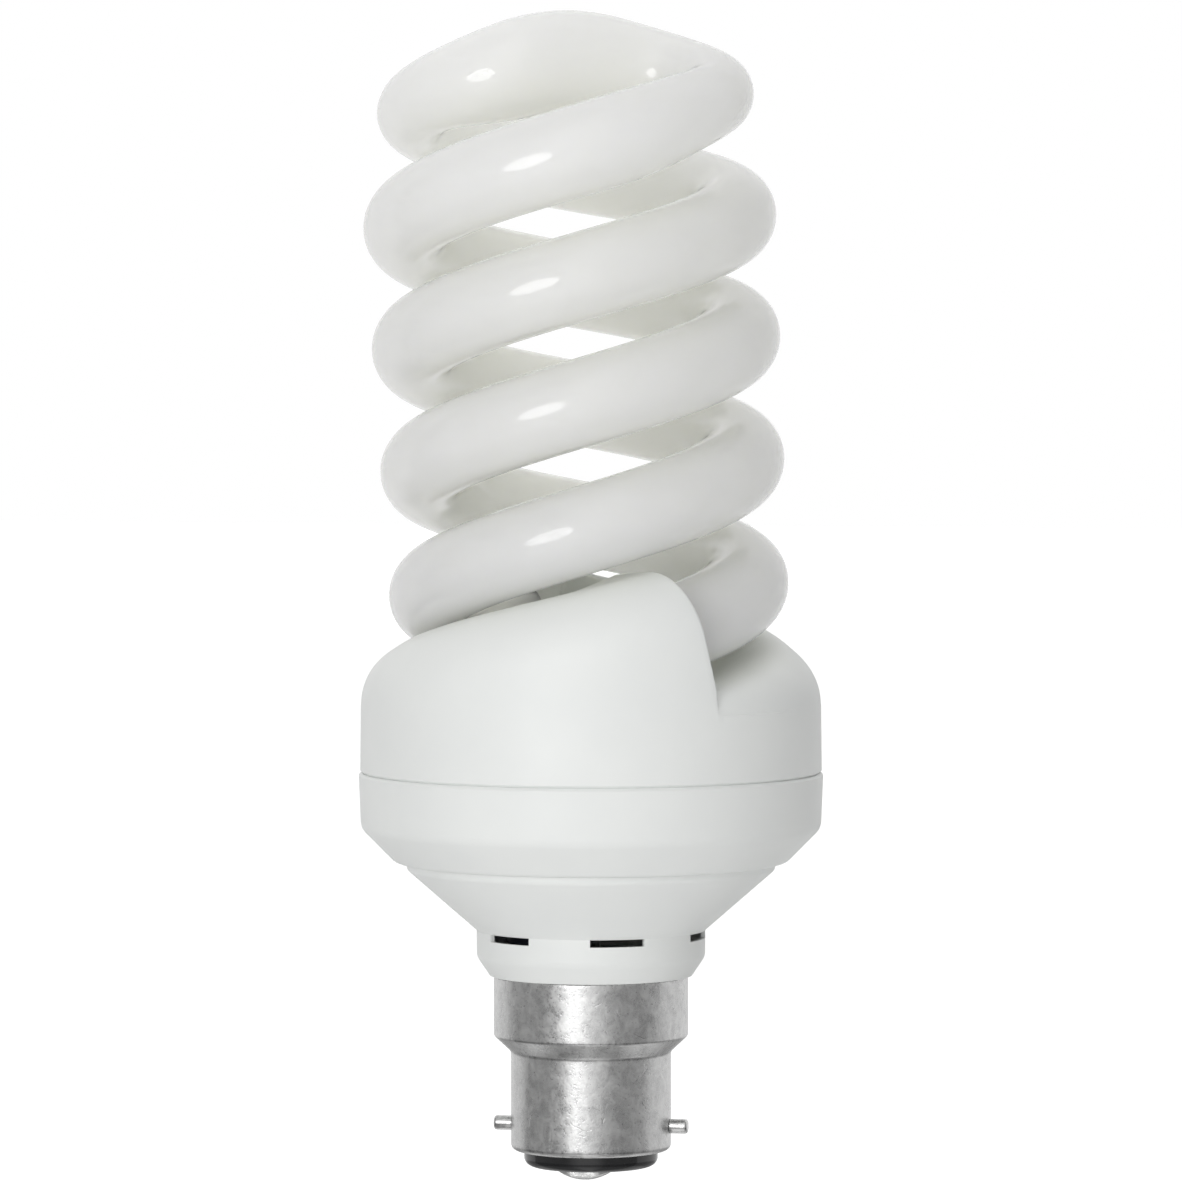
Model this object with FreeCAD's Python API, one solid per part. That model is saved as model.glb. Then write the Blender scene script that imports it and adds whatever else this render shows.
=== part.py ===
import FreeCAD, Part
import math
import os

V = FreeCAD.Vector
UP = V(0, 0, 1)
ORIGIN = V(0, 0, 0)

# Lengths in mm, angles in degrees. Z runs up the lamp, the bayonet pins lie on X at Z = 0.

# Bayonet cap
shell_diameter = 22.0
shell_wall = 0.4
shell_drop = 3.4
rim_curl = 1.4
shell_height = 9.2
shoulder_height = 3.2
skirt_diameter = 26.7
skirt_height = 8.3
shoulder_round = 1.6
skirt_round = 1.0
pin_margin = 0.15
pin_diameter = 2.0
pin_end_round = 0.4
rivet_diameter = 1.6
pin_head_diameter = 3.0
pin_head_thickness = 0.6
pin_clearance = 0.02
insulator_nose_diameter = 18.4
insulator_nose_drop = 2.2
insulator_flange = 1.0
insulator_boss_diameter = 17.0
insulator_boss_height = 4.4
insulator_nose_round = 1.2
insulator_boss_round = 0.8
insulator_clearance = 0.05
contact_width = 8.0
contact_depth = 5.2
contact_height = 1.4
contact_spacing = 9.0
contact_wire_hole = 1.5

# Lower case
case_wall = 1.5
neck_foot_diameter = 27.9
neck_foot_height = 2.6
neck_diameter = 31.4
neck_height = 6.2
cone_top_diameter = 50.6
cone_height = 8.8
step_height = 0.7
taper_bottom_diameter = 54.0
taper_height = 4.6
band_height = 7.6
band_draft = 0.3
band_round = 2.2
taper_round = 1.6
cone_round = 0.8
neck_foot_round = 2.0
spigot_length = 7.0
spigot_wall = 1.2
spigot_clearance = 0.05
seam_chamfer = 0.35
vent_count = 6
vent_angle = 28.0
vent_height = 1.0
vent_phase = -6.5
rib_count = 6
rib_thickness = 1.6
rib_reach = 3.2
rib_height = 5.0

# Glass tube
tube_diameter = 11.84
tube_end_round = 2.4
coil_radius = 21.54
coil_spread = 0.59
coil_pitch = 34.2
coil_pitch_change = -0.45
coil_turns = 1.895
coil_phase = 10.0
coil_lean_side = 2.95
coil_lean_back = 1.06
glass_rise = 25.1
crossing_straight = 6.4
crossing_rise = 10.2
crossing_late_rise = 1.15
tube_end_angle = -116.0

# Upper cover
cover_wall = 1.5
cover_setback = 0.2
cover_lip = 0.1
ramp_gap = 1.5
ledge_radius = 2.8
lobe_corner_radius = 9.3
lobe_inner_gap = 1.2
lobe_outer_gap = 2.69
mouth_angle = -57.5
mouth_foot = 0.3
mouth_clearance = 0.4
tongue_wall = 1.4
tongue_clearance = 0.1
tongue_root = 2.0
cement_thickness = 1.6
cement_length = 14.0
cement_inset = 2.3

# Ballast
board_thickness = 1.6
board_drop = 3.8
board_clearance = 0.5
post_side = 1.2
post_height = 4.5
lead_diameter = 0.6
lead_reach = 5.0
lead_bend = 1.8
lead_pitch = 4.4
mains_lead_diameter = 1.3
mains_lead_bend = 3.0
mains_lead_x = -1.0
mains_lead_y = 8.0

# Heights that follow from the sizes above
rim_z = -shell_drop
nose_z = rim_z - insulator_nose_drop
shoulder_z = shell_height
skirt_z = shoulder_z + shoulder_height
neck_z = skirt_z + skirt_height
cone_z = neck_z + neck_height
cone_top_z = cone_z + cone_height
taper_z = cone_top_z + step_height
band_z = taper_z + taper_height
seam_z = band_z + band_height
coil_z = seam_z + glass_rise
board_top_z = seam_z - board_drop
board_z = board_top_z - board_thickness

tube_radius = tube_diameter / 2
mouth_tilt = math.atan(coil_pitch / (2 * math.pi * coil_radius))
shell_radius = shell_diameter / 2
pin_span = skirt_diameter + 2 * pin_margin
shell_bore = shell_radius - shell_wall
cover_radius = coil_radius + tube_radius + lobe_outer_gap + cover_wall
case_radius = cover_radius + cover_setback
case_bore = case_radius - case_wall
rib_bore = case_bore - rib_reach
band_bore = case_bore - band_draft
board_radius = band_bore - board_clearance
lobe_bore = coil_radius - tube_radius - lobe_inner_gap - cover_wall


def ramp_z(angle):
    return coil_z + coil_pitch * angle / 360 - tube_radius - ramp_gap


ramp_low_z = ramp_z(mouth_angle)
wall_top_z = ramp_low_z - ledge_radius


def corner(before, at, after, radius):
    """Arc of the given radius that rounds a corner, no longer than its sides allow."""
    to_before = before - at
    to_after = after - at
    half = to_before.getAngle(to_after) / 2
    setback = radius / math.tan(half)
    limit = 0.49 * min(to_before.Length, to_after.Length)
    if setback > limit:
        setback = limit
        radius = setback * math.tan(half)
    to_before.normalize()
    to_after.normalize()
    middle = to_before + to_after
    middle.normalize()
    return (at + to_before * setback,
            at + middle * (radius / math.sin(half) - radius),
            at + to_after * setback)


def profile(points):
    """Closed face in the XZ plane from (radius, height, corner radius) points."""
    at = [V(p[0], 0, p[1]) for p in points]
    edges = []
    runs = []
    for i, p in enumerate(points):
        if len(p) > 2 and p[2] > 0:
            start, middle, end = corner(at[i - 1], at[i], at[(i + 1) % len(at)], p[2])
            runs.append((start, end))
            edges.append(Part.Arc(start, middle, end).toShape())
        else:
            runs.append((at[i], at[i]))
    for i in range(len(runs)):
        edges.append(Part.makeLine(runs[i][1], runs[(i + 1) % len(runs)][0]))
    return Part.Face(Part.Wire(Part.__sortEdges__(edges)))


def turned(points):
    return profile(points).revolve(ORIGIN, UP, 360)


def offset_profile(points, distance):
    """Line of (radius, height) points moved sideways by a wall, with mitred corners."""
    at = [V(p[0], 0, p[1]) for p in points]
    moved = []
    for i in range(len(at)):
        sides = []
        if i > 0:
            sides.append(at[i] - at[i - 1])
        if i < len(at) - 1:
            sides.append(at[i + 1] - at[i])
        normals = []
        for side in sides:
            side.normalize()
            normals.append(V(side.z, 0, -side.x))
        total = normals[0] + normals[-1]
        total.normalize()
        shift = total * (distance / total.dot(normals[0]))
        moved.append((at[i].x + shift.x, at[i].z + shift.z))
    return moved


def rounded_path(points, radius):
    edges = []
    start = points[0]
    for i in range(1, len(points) - 1):
        arc = corner(points[i - 1], points[i], points[i + 1], radius)
        edges.append(Part.makeLine(start, arc[0]))
        edges.append(Part.Arc(arc[0], arc[1], arc[2]).toShape())
        start = arc[2]
    edges.append(Part.makeLine(start, points[-1]))
    return Part.Wire(edges)


def wire_along(points, diameter, bend):
    path = rounded_path(points, bend)
    ring = Part.Wire([Part.makeCircle(diameter / 2, points[0], points[1] - points[0])])
    return path.makePipeShell([ring], True, False)


def tube_along(points, radius):
    curve = Part.BSplineCurve()
    curve.interpolate(points)
    start = curve.value(curve.FirstParameter)
    heading = curve.tangent(curve.FirstParameter)[0]
    pipe = Part.BRepOffsetAPI.MakePipeShell(Part.Wire([curve.toShape()]))
    pipe.add(Part.Wire([Part.makeCircle(radius, start, heading)]))
    pipe.build()
    pipe.makeSolid()
    return pipe.shape()


def spun(shape, angle):
    copy = shape.copy()
    copy.rotate(ORIGIN, UP, angle)
    return copy


def pair(shape):
    return [shape, spun(shape, 180)]


def box(width, depth, height, x, y, top):
    return Part.makeBox(width, depth, height, V(x - width / 2, y - depth / 2, top - height))


def upright(edge):
    return abs(edge.tangentAt(edge.FirstParameter).z) > 0.9


def rounded_box(width, depth, height, x, y, top, radius):
    block = box(width, depth, height, x, y, top)
    edges = [e for e in block.Edges if min(v.Z for v in e.Vertexes) < top - height / 2]
    return block.makeFillet(radius, edges)


def coil_point(angle):
    turns = angle / 360
    radius = coil_radius + coil_spread * turns
    height = coil_z + coil_pitch * turns + coil_pitch_change * turns * abs(turns)
    a = math.radians(angle)
    return V(radius * math.cos(a), radius * math.sin(a), height)


def coil_slope(angle):
    turns = angle / 360
    return coil_pitch + 2 * coil_pitch_change * abs(turns)


def rise_along(first, last, step):
    count = max(2, round((last - first) / step))
    return [coil_point(first + (last - first) * i / count) for i in range(count + 1)]


def crossing():
    """From the end of one helix, round a bend and over the axis, half of the top crossing."""
    last = 360 * coil_turns
    a = math.radians(last)
    end = coil_point(last)
    reach = math.hypot(end.x, end.y)
    bend = (reach ** 2 - crossing_straight ** 2) / (2 * reach)
    turn = math.pi / 2 + math.asin(bend / (reach - bend))
    length = bend * turn + crossing_straight
    slope = coil_slope(last) / (2 * math.pi * reach) * length
    centre = V(math.cos(a), math.sin(a), 0) * (reach - bend)

    def height(run):
        v = run / length
        w = v ** crossing_late_rise
        return end.z + slope * (v ** 3 - 2 * v ** 2 + v) + crossing_rise * (3 * w ** 2 - 2 * w ** 3)

    points = []
    for i in range(1, 7):
        t = turn * i / 6
        points.append(V(centre.x + bend * math.cos(a + t),
                        centre.y + bend * math.sin(a + t), height(bend * t)))
    points.append(V(0, 0, height(length)))
    return points


def leaned(points):
    """The coil stands a little out of square, leaning on its lowest turn."""
    seat = V(0, 0, coil_z - tube_radius)
    side = FreeCAD.Rotation(V(0, 1, 0), -coil_lean_side)
    back = FreeCAD.Rotation(V(1, 0, 0), -coil_lean_back)
    turn = FreeCAD.Rotation(UP, coil_phase)
    return [turn.multVec(seat + back.multVec(side.multVec(p - seat))) for p in points]


def half_turn(points):
    return [V(-p.x, -p.y, p.z) for p in points]


# Glass spiral tube
one_side = rise_along(tube_end_angle, 360 * coil_turns, 12) + crossing()
other_side = half_turn(one_side)[:-1]
tube_path = leaned(one_side + other_side[::-1])
glass_spiral_tube = tube_along(tube_path, tube_radius)
end_faces = [f for f in glass_spiral_tube.Faces if isinstance(f.Surface, Part.Plane)]
glass_spiral_tube = glass_spiral_tube.makeFillet(
    min(tube_end_round, 0.9 * tube_radius), [e for f in end_faces for e in f.Edges])

# The same path, longer than the cover is wide, makes the room for the tube in the cover
mouth_runs = []
cement_runs = []
cement_end = mouth_angle - math.degrees(cement_inset / coil_radius)
cement_start = cement_end - math.degrees(cement_length / coil_radius)
for flip in (False, True):
    run = rise_along(tube_end_angle - 20, mouth_angle + 290, 15)
    short = rise_along(cement_start, cement_end, 8)
    if flip:
        run = half_turn(run)
        short = half_turn(short)
    mouth_runs.append(tube_along(leaned(run), tube_radius + mouth_clearance))
    cement_runs.append(tube_along(leaned(short), tube_radius + cement_thickness))


# Upper cover
def lobe_section(angle, inset):
    outer = cover_radius - cover_lip - inset
    inner = lobe_bore + inset
    top = ramp_z(angle) - inset
    rounding = min(ramp_z(angle) - wall_top_z, lobe_corner_radius)
    if inset > 0:
        rounding = max(rounding - inset, 0.5 * ledge_radius)
    foot = wall_top_z - cover_wall / 2 - inset
    diagonal = rounding * (1 - math.sqrt(0.5))
    at = [V(inner, 0, foot), V(outer, 0, foot), V(outer, 0, top - rounding),
          V(outer - diagonal, 0, top - diagonal), V(outer - rounding, 0, top), V(inner, 0, top)]
    wire = Part.Wire([
        Part.makeLine(at[0], at[1]), Part.makeLine(at[1], at[2]),
        Part.Arc(at[2], at[3], at[4]).toShape(),
        Part.makeLine(at[4], at[5]), Part.makeLine(at[5], at[0])])
    wire.rotate(ORIGIN, UP, angle)
    return wire


def mouth_cut(back, floor):
    """Prism that leaves the end of a lobe square to the tube that enters it."""
    lean = math.tan(mouth_tilt)
    set_back = back / math.cos(mouth_tilt)
    foot = ramp_low_z + mouth_foot
    top = foot + 4 * tube_radius
    ahead = max(mouth_foot, 2 * back)
    points = [V(0, ahead, floor), V(0, ahead, top), V(0, -set_back - (top - foot) * lean, top),
              V(0, -set_back, foot), V(0, -set_back, floor)]
    if floor >= foot:
        points.pop()
    prism = Part.Face(Part.makePolygon(points + points[:1])).extrude(V(2 * cover_radius, 0, 0))
    return spun(prism, mouth_angle + 180)


def lobe(inset):
    steps = 12
    low = mouth_angle
    high = mouth_angle + 180
    sections = [lobe_section(low + (high - low) * i / steps, inset) for i in range(steps + 1)]
    body = Part.makeLoft(sections, True, False)
    if inset == 0:
        return body.cut(mouth_cut(0, ramp_low_z + mouth_foot))
    return body.cut(mouth_cut(inset, wall_top_z - 3 * inset))


seam_edge = cover_radius - seam_chamfer
cover = turned([(0, seam_z), (seam_edge, seam_z), (cover_radius, seam_z + seam_chamfer),
                (cover_radius, wall_top_z), (0, wall_top_z)])
room = turned([(0, seam_z), (cover_radius - cover_wall, seam_z),
               (cover_radius - cover_wall, wall_top_z - cover_wall), (0, wall_top_z - cover_wall)])
cover = cover.fuse([spun(s, coil_phase) for s in pair(lobe(0))])
room = room.fuse([spun(s, coil_phase) for s in pair(lobe(cover_wall))])
tongue_radius = band_bore - tongue_clearance
tongue = turned([(tongue_radius - tongue_wall, board_top_z), (tongue_radius, board_top_z),
                 (tongue_radius, seam_z), (cover_radius - cover_wall / 2, seam_z),
                 (cover_radius - cover_wall / 2, seam_z + tongue_root),
                 (tongue_radius - tongue_wall, seam_z + tongue_root)])
upper_cover = cover.cut(room).fuse(tongue).cut(mouth_runs)

# Cement collars round the tube, just inside the mouths
tube_cement = Part.makeCompound([c.common(room).cut([glass_spiral_tube, tongue]) for c in cement_runs])

# Lower case
outline = [(case_radius, seam_z), (case_radius - band_draft, band_z),
           (taper_bottom_diameter / 2, taper_z), (cone_top_diameter / 2, taper_z - step_height / 3),
           (cone_top_diameter / 2, cone_top_z), (neck_diameter / 2, cone_z),
           (neck_diameter / 2, neck_z + neck_foot_height), (neck_foot_diameter / 2, neck_z)]
edge_rounds = [0, band_round, taper_round, 0, cone_round, 0, neck_foot_round, 0]
hollow = offset_profile([outline[0], outline[1], outline[2], outline[5], outline[6]], case_wall)
spigot_radius = skirt_diameter / 2 - shell_wall - spigot_clearance
spigot_z = neck_z - spigot_length
rim = [(case_radius - seam_chamfer, seam_z), (case_radius, seam_z - seam_chamfer)]
skin = [p + (r,) for p, r in zip(outline, edge_rounds)][1:]
foot = [(spigot_radius, neck_z), (spigot_radius, spigot_z), (spigot_radius - spigot_wall, spigot_z),
        (spigot_radius - spigot_wall, neck_z + case_wall), (hollow[-1][0], neck_z + neck_foot_height)]
lower_case = turned(rim + skin + foot + hollow[-2:0:-1] + [(case_bore, seam_z)])

vent = profile([(neck_diameter / 2 - 2 * case_wall, cone_z - vent_height),
                (neck_diameter / 2 + case_wall, cone_z - vent_height),
                (neck_diameter / 2 + case_wall, cone_z), (neck_diameter / 2 - 2 * case_wall, cone_z)])
vent = spun(vent.revolve(ORIGIN, UP, vent_angle), vent_phase - vent_angle / 2)
lower_case = lower_case.cut([spun(vent, 360 * i / vent_count) for i in range(vent_count)])

rib = Part.makeBox(rib_reach + case_wall / 2, rib_thickness, rib_height,
                   V(rib_bore, -rib_thickness / 2, board_z - rib_height))
rib = rib.common(turned([(0, cone_z)] + hollow[3:1:-1] + [
    (hollow[1][0] + case_wall / 2, hollow[1][1]), (case_bore + case_wall / 2, seam_z), (0, seam_z)]))
lower_case = lower_case.fuse([spun(rib, 360 * (i + 0.5) / rib_count) for i in range(rib_count)])

# Bayonet cap
skirt_bore = skirt_diameter / 2 - shell_wall
nose_hole = insulator_nose_diameter / 2 + insulator_clearance
cap_shell = turned([
    (nose_hole, rim_z), (shell_radius, rim_z, rim_curl), (shell_radius, shoulder_z, shoulder_round),
    (skirt_diameter / 2, skirt_z, skirt_round), (skirt_diameter / 2, neck_z), (skirt_bore, neck_z),
    (skirt_bore, skirt_z, skirt_round - shell_wall), (shell_bore, shoulder_z, shoulder_round + shell_wall),
    (shell_bore, rim_z + shell_wall, rim_curl - shell_wall), (nose_hole, rim_z + shell_wall)])
pin_hole = Part.makeCylinder(rivet_diameter / 2 + pin_clearance, pin_span,
                             V(-pin_span / 2, 0, 0), V(1, 0, 0))
cap_shell = cap_shell.cut(pin_hole)

head_x = math.sqrt(shell_bore ** 2 - (pin_head_diameter / 2) ** 2) - pin_clearance
pin = profile([(0, head_x - pin_head_thickness), (pin_head_diameter / 2, head_x - pin_head_thickness),
               (pin_head_diameter / 2, head_x), (rivet_diameter / 2, head_x),
               (rivet_diameter / 2, shell_radius), (pin_diameter / 2, shell_radius),
               (pin_diameter / 2, pin_span / 2, pin_end_round), (0, pin_span / 2)])
pin = pin.revolve(ORIGIN, UP, 360)
pin.rotate(ORIGIN, V(0, 1, 0), 90)
bayonet_pins = Part.makeCompound(pair(pin))

flange_z = rim_z + shell_wall
flange_radius = shell_bore - insulator_clearance
cap_insulator = turned([
    (0, nose_z), (insulator_nose_diameter / 2, nose_z, insulator_nose_round),
    (insulator_nose_diameter / 2, flange_z),
    (flange_radius - rim_curl, flange_z), (flange_radius, flange_z + insulator_flange),
    (insulator_boss_diameter / 2, flange_z + insulator_flange),
    (insulator_boss_diameter / 2, flange_z + insulator_boss_height, insulator_boss_round),
    (0, flange_z + insulator_boss_height)])
hole = Part.makeCylinder(contact_wire_hole / 2, insulator_boss_height + insulator_nose_drop + 2,
                         V(0, contact_spacing / 2, nose_z - 1))
cap_insulator = cap_insulator.cut(pair(hole))

dome_radius = ((contact_width / 2) ** 2 + contact_height ** 2) / (2 * contact_height)
dome = Part.makeSphere(dome_radius, V(0, 0, nose_z - contact_height + dome_radius))
straight_side = contact_width - contact_depth
pad = Part.makeBox(straight_side, contact_depth, 2 * contact_height,
                   V(-straight_side / 2, -contact_depth / 2, nose_z - 2 * contact_height))
for side in (-1, 1):
    pad = pad.fuse(Part.makeCylinder(contact_depth / 2, 2 * contact_height,
                                     V(side * straight_side / 2, 0, nose_z - 2 * contact_height)))
contact = pad.removeSplitter().common(dome)
contact.translate(V(0, contact_spacing / 2, 0))
cap_contacts = Part.makeCompound(pair(contact))

# Circuit board with the parts that hang from it
circuit_board = Part.makeCylinder(board_radius, board_thickness, V(0, 0, board_z))

capacitor_diameter = 10.0
capacitor_length = 19.0
capacitor_x = -6.6
capacitor_round = 0.6
crimp_depth = 0.5
crimp_width = 1.2
crimp_round = 0.3
crimp_drop = 2.6
crimp_z = board_z - crimp_drop
electrolytic_capacitor = turned([
    (0, board_z - capacitor_length), (capacitor_diameter / 2, board_z - capacitor_length, capacitor_round),
    (capacitor_diameter / 2, crimp_z - crimp_width / 2, crimp_round),
    (capacitor_diameter / 2 - crimp_depth, crimp_z, crimp_round),
    (capacitor_diameter / 2, crimp_z + crimp_width / 2, crimp_round),
    (capacitor_diameter / 2, board_z, capacitor_round), (0, board_z)])
electrolytic_capacitor.translate(V(capacitor_x, 0, 0))

core_width = 16.0
core_height = 12.0
core_thickness = 5.0
core_leg = 2.2
centre_leg = 4.0
choke_x = 8.2
bobbin_wall = 0.6
bobbin_slack = 0.15
bobbin_flange = 0.8
winding_round = 1.2
window = (core_width - centre_leg) / 2 - core_leg
window_height = core_height - 2 * core_leg
choke_core = box(core_width, core_thickness, core_height, choke_x, 0, board_z)
for side in (-1, 1):
    choke_core = choke_core.cut(box(window, core_thickness, window_height,
                                    choke_x + side * (centre_leg + window) / 2, 0, board_z - core_leg))
sleeve_x = centre_leg + 2 * bobbin_slack
sleeve_y = core_thickness + 2 * bobbin_slack
coil_x = centre_leg + 2 * window - 2 * bobbin_slack
coil_y = core_thickness + 2 * window - 2 * bobbin_slack
spool_height = window_height - 2 * bobbin_slack
spool_top = board_z - core_leg - bobbin_slack
leg_hole = box(sleeve_x, sleeve_y, spool_height, choke_x, 0, spool_top)
drum_x = sleeve_x + 2 * bobbin_wall
drum_y = sleeve_y + 2 * bobbin_wall
drum = box(drum_x, drum_y, spool_height, choke_x, 0, spool_top)
choke_bobbin = drum.fuse([
    box(coil_x, coil_y, bobbin_flange, choke_x, 0, spool_top),
    box(coil_x, coil_y, bobbin_flange, choke_x, 0, spool_top - spool_height + bobbin_flange)]).cut(leg_hole)
winding_height = spool_height - 2 * bobbin_flange
winding = box(coil_x - 2 * bobbin_slack, coil_y - 2 * bobbin_slack, winding_height, choke_x, 0,
              spool_top - bobbin_flange)
winding = winding.makeFillet(winding_round, [e for e in winding.Edges if upright(e)])
choke_winding = winding.cut(drum)

toroid_diameter = 9.0
toroid_hole = 4.8
toroid_height = 4.5
toroid_turns = 3
toroid_wire = 0.9
toroid_slack = 0.1
toroid_round = 0.4
toroid_turn_angle = 34.0
toroid_groups = 3
toroid_y = 14.2
ring_top = board_z - toroid_wire - toroid_slack
toroid_core = turned([
    (toroid_hole / 2, ring_top - toroid_height, toroid_round),
    (toroid_diameter / 2, ring_top - toroid_height, toroid_round),
    (toroid_diameter / 2, ring_top, toroid_round), (toroid_hole / 2, ring_top, toroid_round)])
toroid_core.translate(V(0, toroid_y, 0))
ring_middle = (toroid_diameter + toroid_hole) / 4
loop_width = (toroid_diameter - toroid_hole) / 2 + 2 * toroid_slack
loop_height = toroid_height + 2 * toroid_slack
strap = box(loop_width + 2 * toroid_wire, toroid_wire, loop_height + 2 * toroid_wire,
            ring_middle, 0, board_z)
strap = strap.cut(box(loop_width, toroid_wire, loop_height, ring_middle, 0, board_z - toroid_wire))
straps = []
for group in range(toroid_groups):
    for i in range(toroid_turns):
        turn = spun(strap, 360 * group / toroid_groups + (i - 1) * toroid_turn_angle)
        turn.translate(V(0, toroid_y, 0))
        straps.append(turn)
toroid_windings = Part.makeCompound(straps)

transistor_diameter = 5.2
transistor_height = 8.0
transistor_flat = 1.2
transistor_x = -14.0
transistor_y = 9.8
transistors = []
for x, y in ((transistor_x, transistor_y), (transistor_x, -transistor_y)):
    body = Part.makeCylinder(transistor_diameter / 2, transistor_height, V(x, y, board_z - transistor_height))
    transistors.append(body.cut(box(transistor_diameter, transistor_diameter, transistor_height,
                                    x - transistor_diameter + transistor_flat, y, board_z)))
switching_transistors = Part.makeCompound(transistors)

resonance_width = 11.0
resonance_depth = 4.6
resonance_height = 9.0
resonance_y = -13.4
film_width = 7.6
film_depth = 3.6
film_height = 7.0
film_x = 13.4
film_y = 12.6
film_round = 0.6
resonance_capacitor = rounded_box(resonance_width, resonance_depth, resonance_height,
                                  0, resonance_y, board_z, film_round)
coupling_capacitor = rounded_box(film_width, film_depth, film_height, film_x, -film_y, board_z, film_round)
filter_capacitor = rounded_box(film_width, film_depth, film_height, film_x, film_y, board_z, film_round)

inductor_diameter = 7.0
inductor_height = 7.6
inductor_flange = 1.0
inductor_core = 3.0
inductor_winding_gap = 0.3
inductor_x = -10.6
inductor_inset = 14.15
inductor_y = inductor_inset - board_radius
filter_inductor = turned([
    (0, board_z - inductor_height), (inductor_diameter / 2, board_z - inductor_height),
    (inductor_diameter / 2, board_z - inductor_height + inductor_flange),
    (inductor_core / 2, board_z - inductor_height + inductor_flange),
    (inductor_core / 2, board_z - inductor_flange), (inductor_diameter / 2, board_z - inductor_flange),
    (inductor_diameter / 2, board_z), (0, board_z)])
filter_inductor.translate(V(inductor_x, inductor_y, 0))
inductor_winding = turned([
    (inductor_core / 2, board_z - inductor_height + inductor_flange),
    (inductor_diameter / 2 - inductor_winding_gap, board_z - inductor_height + inductor_flange),
    (inductor_diameter / 2 - inductor_winding_gap, board_z - inductor_flange),
    (inductor_core / 2, board_z - inductor_flange)])
inductor_winding.translate(V(inductor_x, inductor_y, 0))

thermistor_diameter = 6.4
thermistor_thickness = 2.6
thermistor_inset = 9.15
thermistor_x = board_radius - thermistor_inset
thermistor_at = V(thermistor_x - thermistor_thickness / 2, 0, board_z - thermistor_diameter / 2)
start_thermistor = Part.makeCylinder(thermistor_diameter / 2, thermistor_thickness, thermistor_at, V(1, 0, 0))


def axial_body(diameter, length, x, y, heading):
    """Small round body that lies on the board."""
    rounding = 0.2 * diameter
    body = turned([(0, 0), (diameter / 2, 0, rounding), (diameter / 2, length, rounding), (0, length)])
    body.translate(V(0, 0, -length / 2))
    body.rotate(ORIGIN, V(0, 1, 0), 90)
    body.rotate(ORIGIN, UP, heading)
    body.translate(V(x, y, board_z - diameter / 2))
    return body


diode_diameter = 2.7
diode_length = 5.2
diode_spacing = 3.6
diode_inset = 8.1
resistor_diameter = 2.4
resistor_length = 6.4
resistor_spacing = 6.0
resistor_inset = 8.5
fuse_diameter = 3.2
fuse_length = 9.0
fuse_x = 9.0
fuse_inset = 8.9
diac_diameter = 2.0
diac_length = 4.2
diac_x = -9.0
diac_inset = 10.5
rectifier_diodes = Part.makeCompound([
    axial_body(diode_diameter, diode_length, diode_inset - board_radius, (i - 1.5) * diode_spacing, 0)
    for i in range(4)])
resistors = Part.makeCompound([
    axial_body(resistor_diameter, resistor_length,
               (i - 1) * resistor_spacing, resistor_inset - board_radius, 90)
    for i in range(4)])
fuse_resistor = axial_body(fuse_diameter, fuse_length, fuse_x, board_radius - fuse_inset, 0)
trigger_diac = axial_body(diac_diameter, diac_length, diac_x, board_radius - diac_inset, 0)

# Leads of the tube, and the posts that they are wound on
leads = []
posts = []
for flip in (False, True):
    ends = [coil_point(tube_end_angle), coil_point(tube_end_angle + 1)]
    if flip:
        ends = half_turn(ends)
    ends = leaned(ends)
    out = ends[0] - ends[1]
    out.normalize()
    side = out.cross(UP)
    side.normalize()
    for place in (-1, 1):
        start = ends[0] + side * (place * lead_pitch / 2)
        turn_down = start + out * lead_reach
        foot_at = V(turn_down.x, turn_down.y, board_top_z + post_height)
        leads.append(wire_along([start, turn_down, foot_at], lead_diameter, lead_bend))
        posts.append(box(post_side, post_side, post_height, foot_at.x, foot_at.y, foot_at.z))
filament_leads = Part.makeCompound([lead.cut(glass_spiral_tube) for lead in leads])
wire_posts = Part.makeCompound(posts)

mains = []
for side in (-1, 1):
    low = V(0, side * contact_spacing / 2, nose_z)
    mains.append(wire_along([
        low, V(low.x, low.y, skirt_z), V(mains_lead_x, side * mains_lead_y, cone_z),
        V(mains_lead_x, side * mains_lead_y, board_z)], mains_lead_diameter, mains_lead_bend))
mains_leads = Part.makeCompound(mains)

nodes = {
    "glass_spiral_tube": glass_spiral_tube,
    "upper_cover": upper_cover,
    "tube_cement": tube_cement,
    "lower_case": lower_case,
    "cap_shell": cap_shell,
    "bayonet_pins": bayonet_pins,
    "cap_insulator": cap_insulator,
    "cap_contacts": cap_contacts,
    "circuit_board": circuit_board,
    "electrolytic_capacitor": electrolytic_capacitor,
    "choke_core": choke_core,
    "choke_bobbin": choke_bobbin,
    "choke_winding": choke_winding,
    "toroid_core": toroid_core,
    "toroid_windings": toroid_windings,
    "switching_transistors": switching_transistors,
    "resonance_capacitor": resonance_capacitor,
    "coupling_capacitor": coupling_capacitor,
    "filter_capacitor": filter_capacitor,
    "filter_inductor": filter_inductor,
    "inductor_winding": inductor_winding,
    "start_thermistor": start_thermistor,
    "rectifier_diodes": rectifier_diodes,
    "resistors": resistors,
    "fuse_resistor": fuse_resistor,
    "trigger_diac": trigger_diac,
    "wire_posts": wire_posts,
    "filament_leads": filament_leads,
    "mains_leads": mains_leads,
}

os.makedirs("parts", exist_ok=True)
for name, shape in nodes.items():
    shape.exportStep("parts/" + name + ".step")
    print(name, len(shape.Solids), shape.isValid(), round(shape.Volume, 1))
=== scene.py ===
import math

import bmesh
import bpy
import numpy as np
from mathutils import Matrix, Vector


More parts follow.
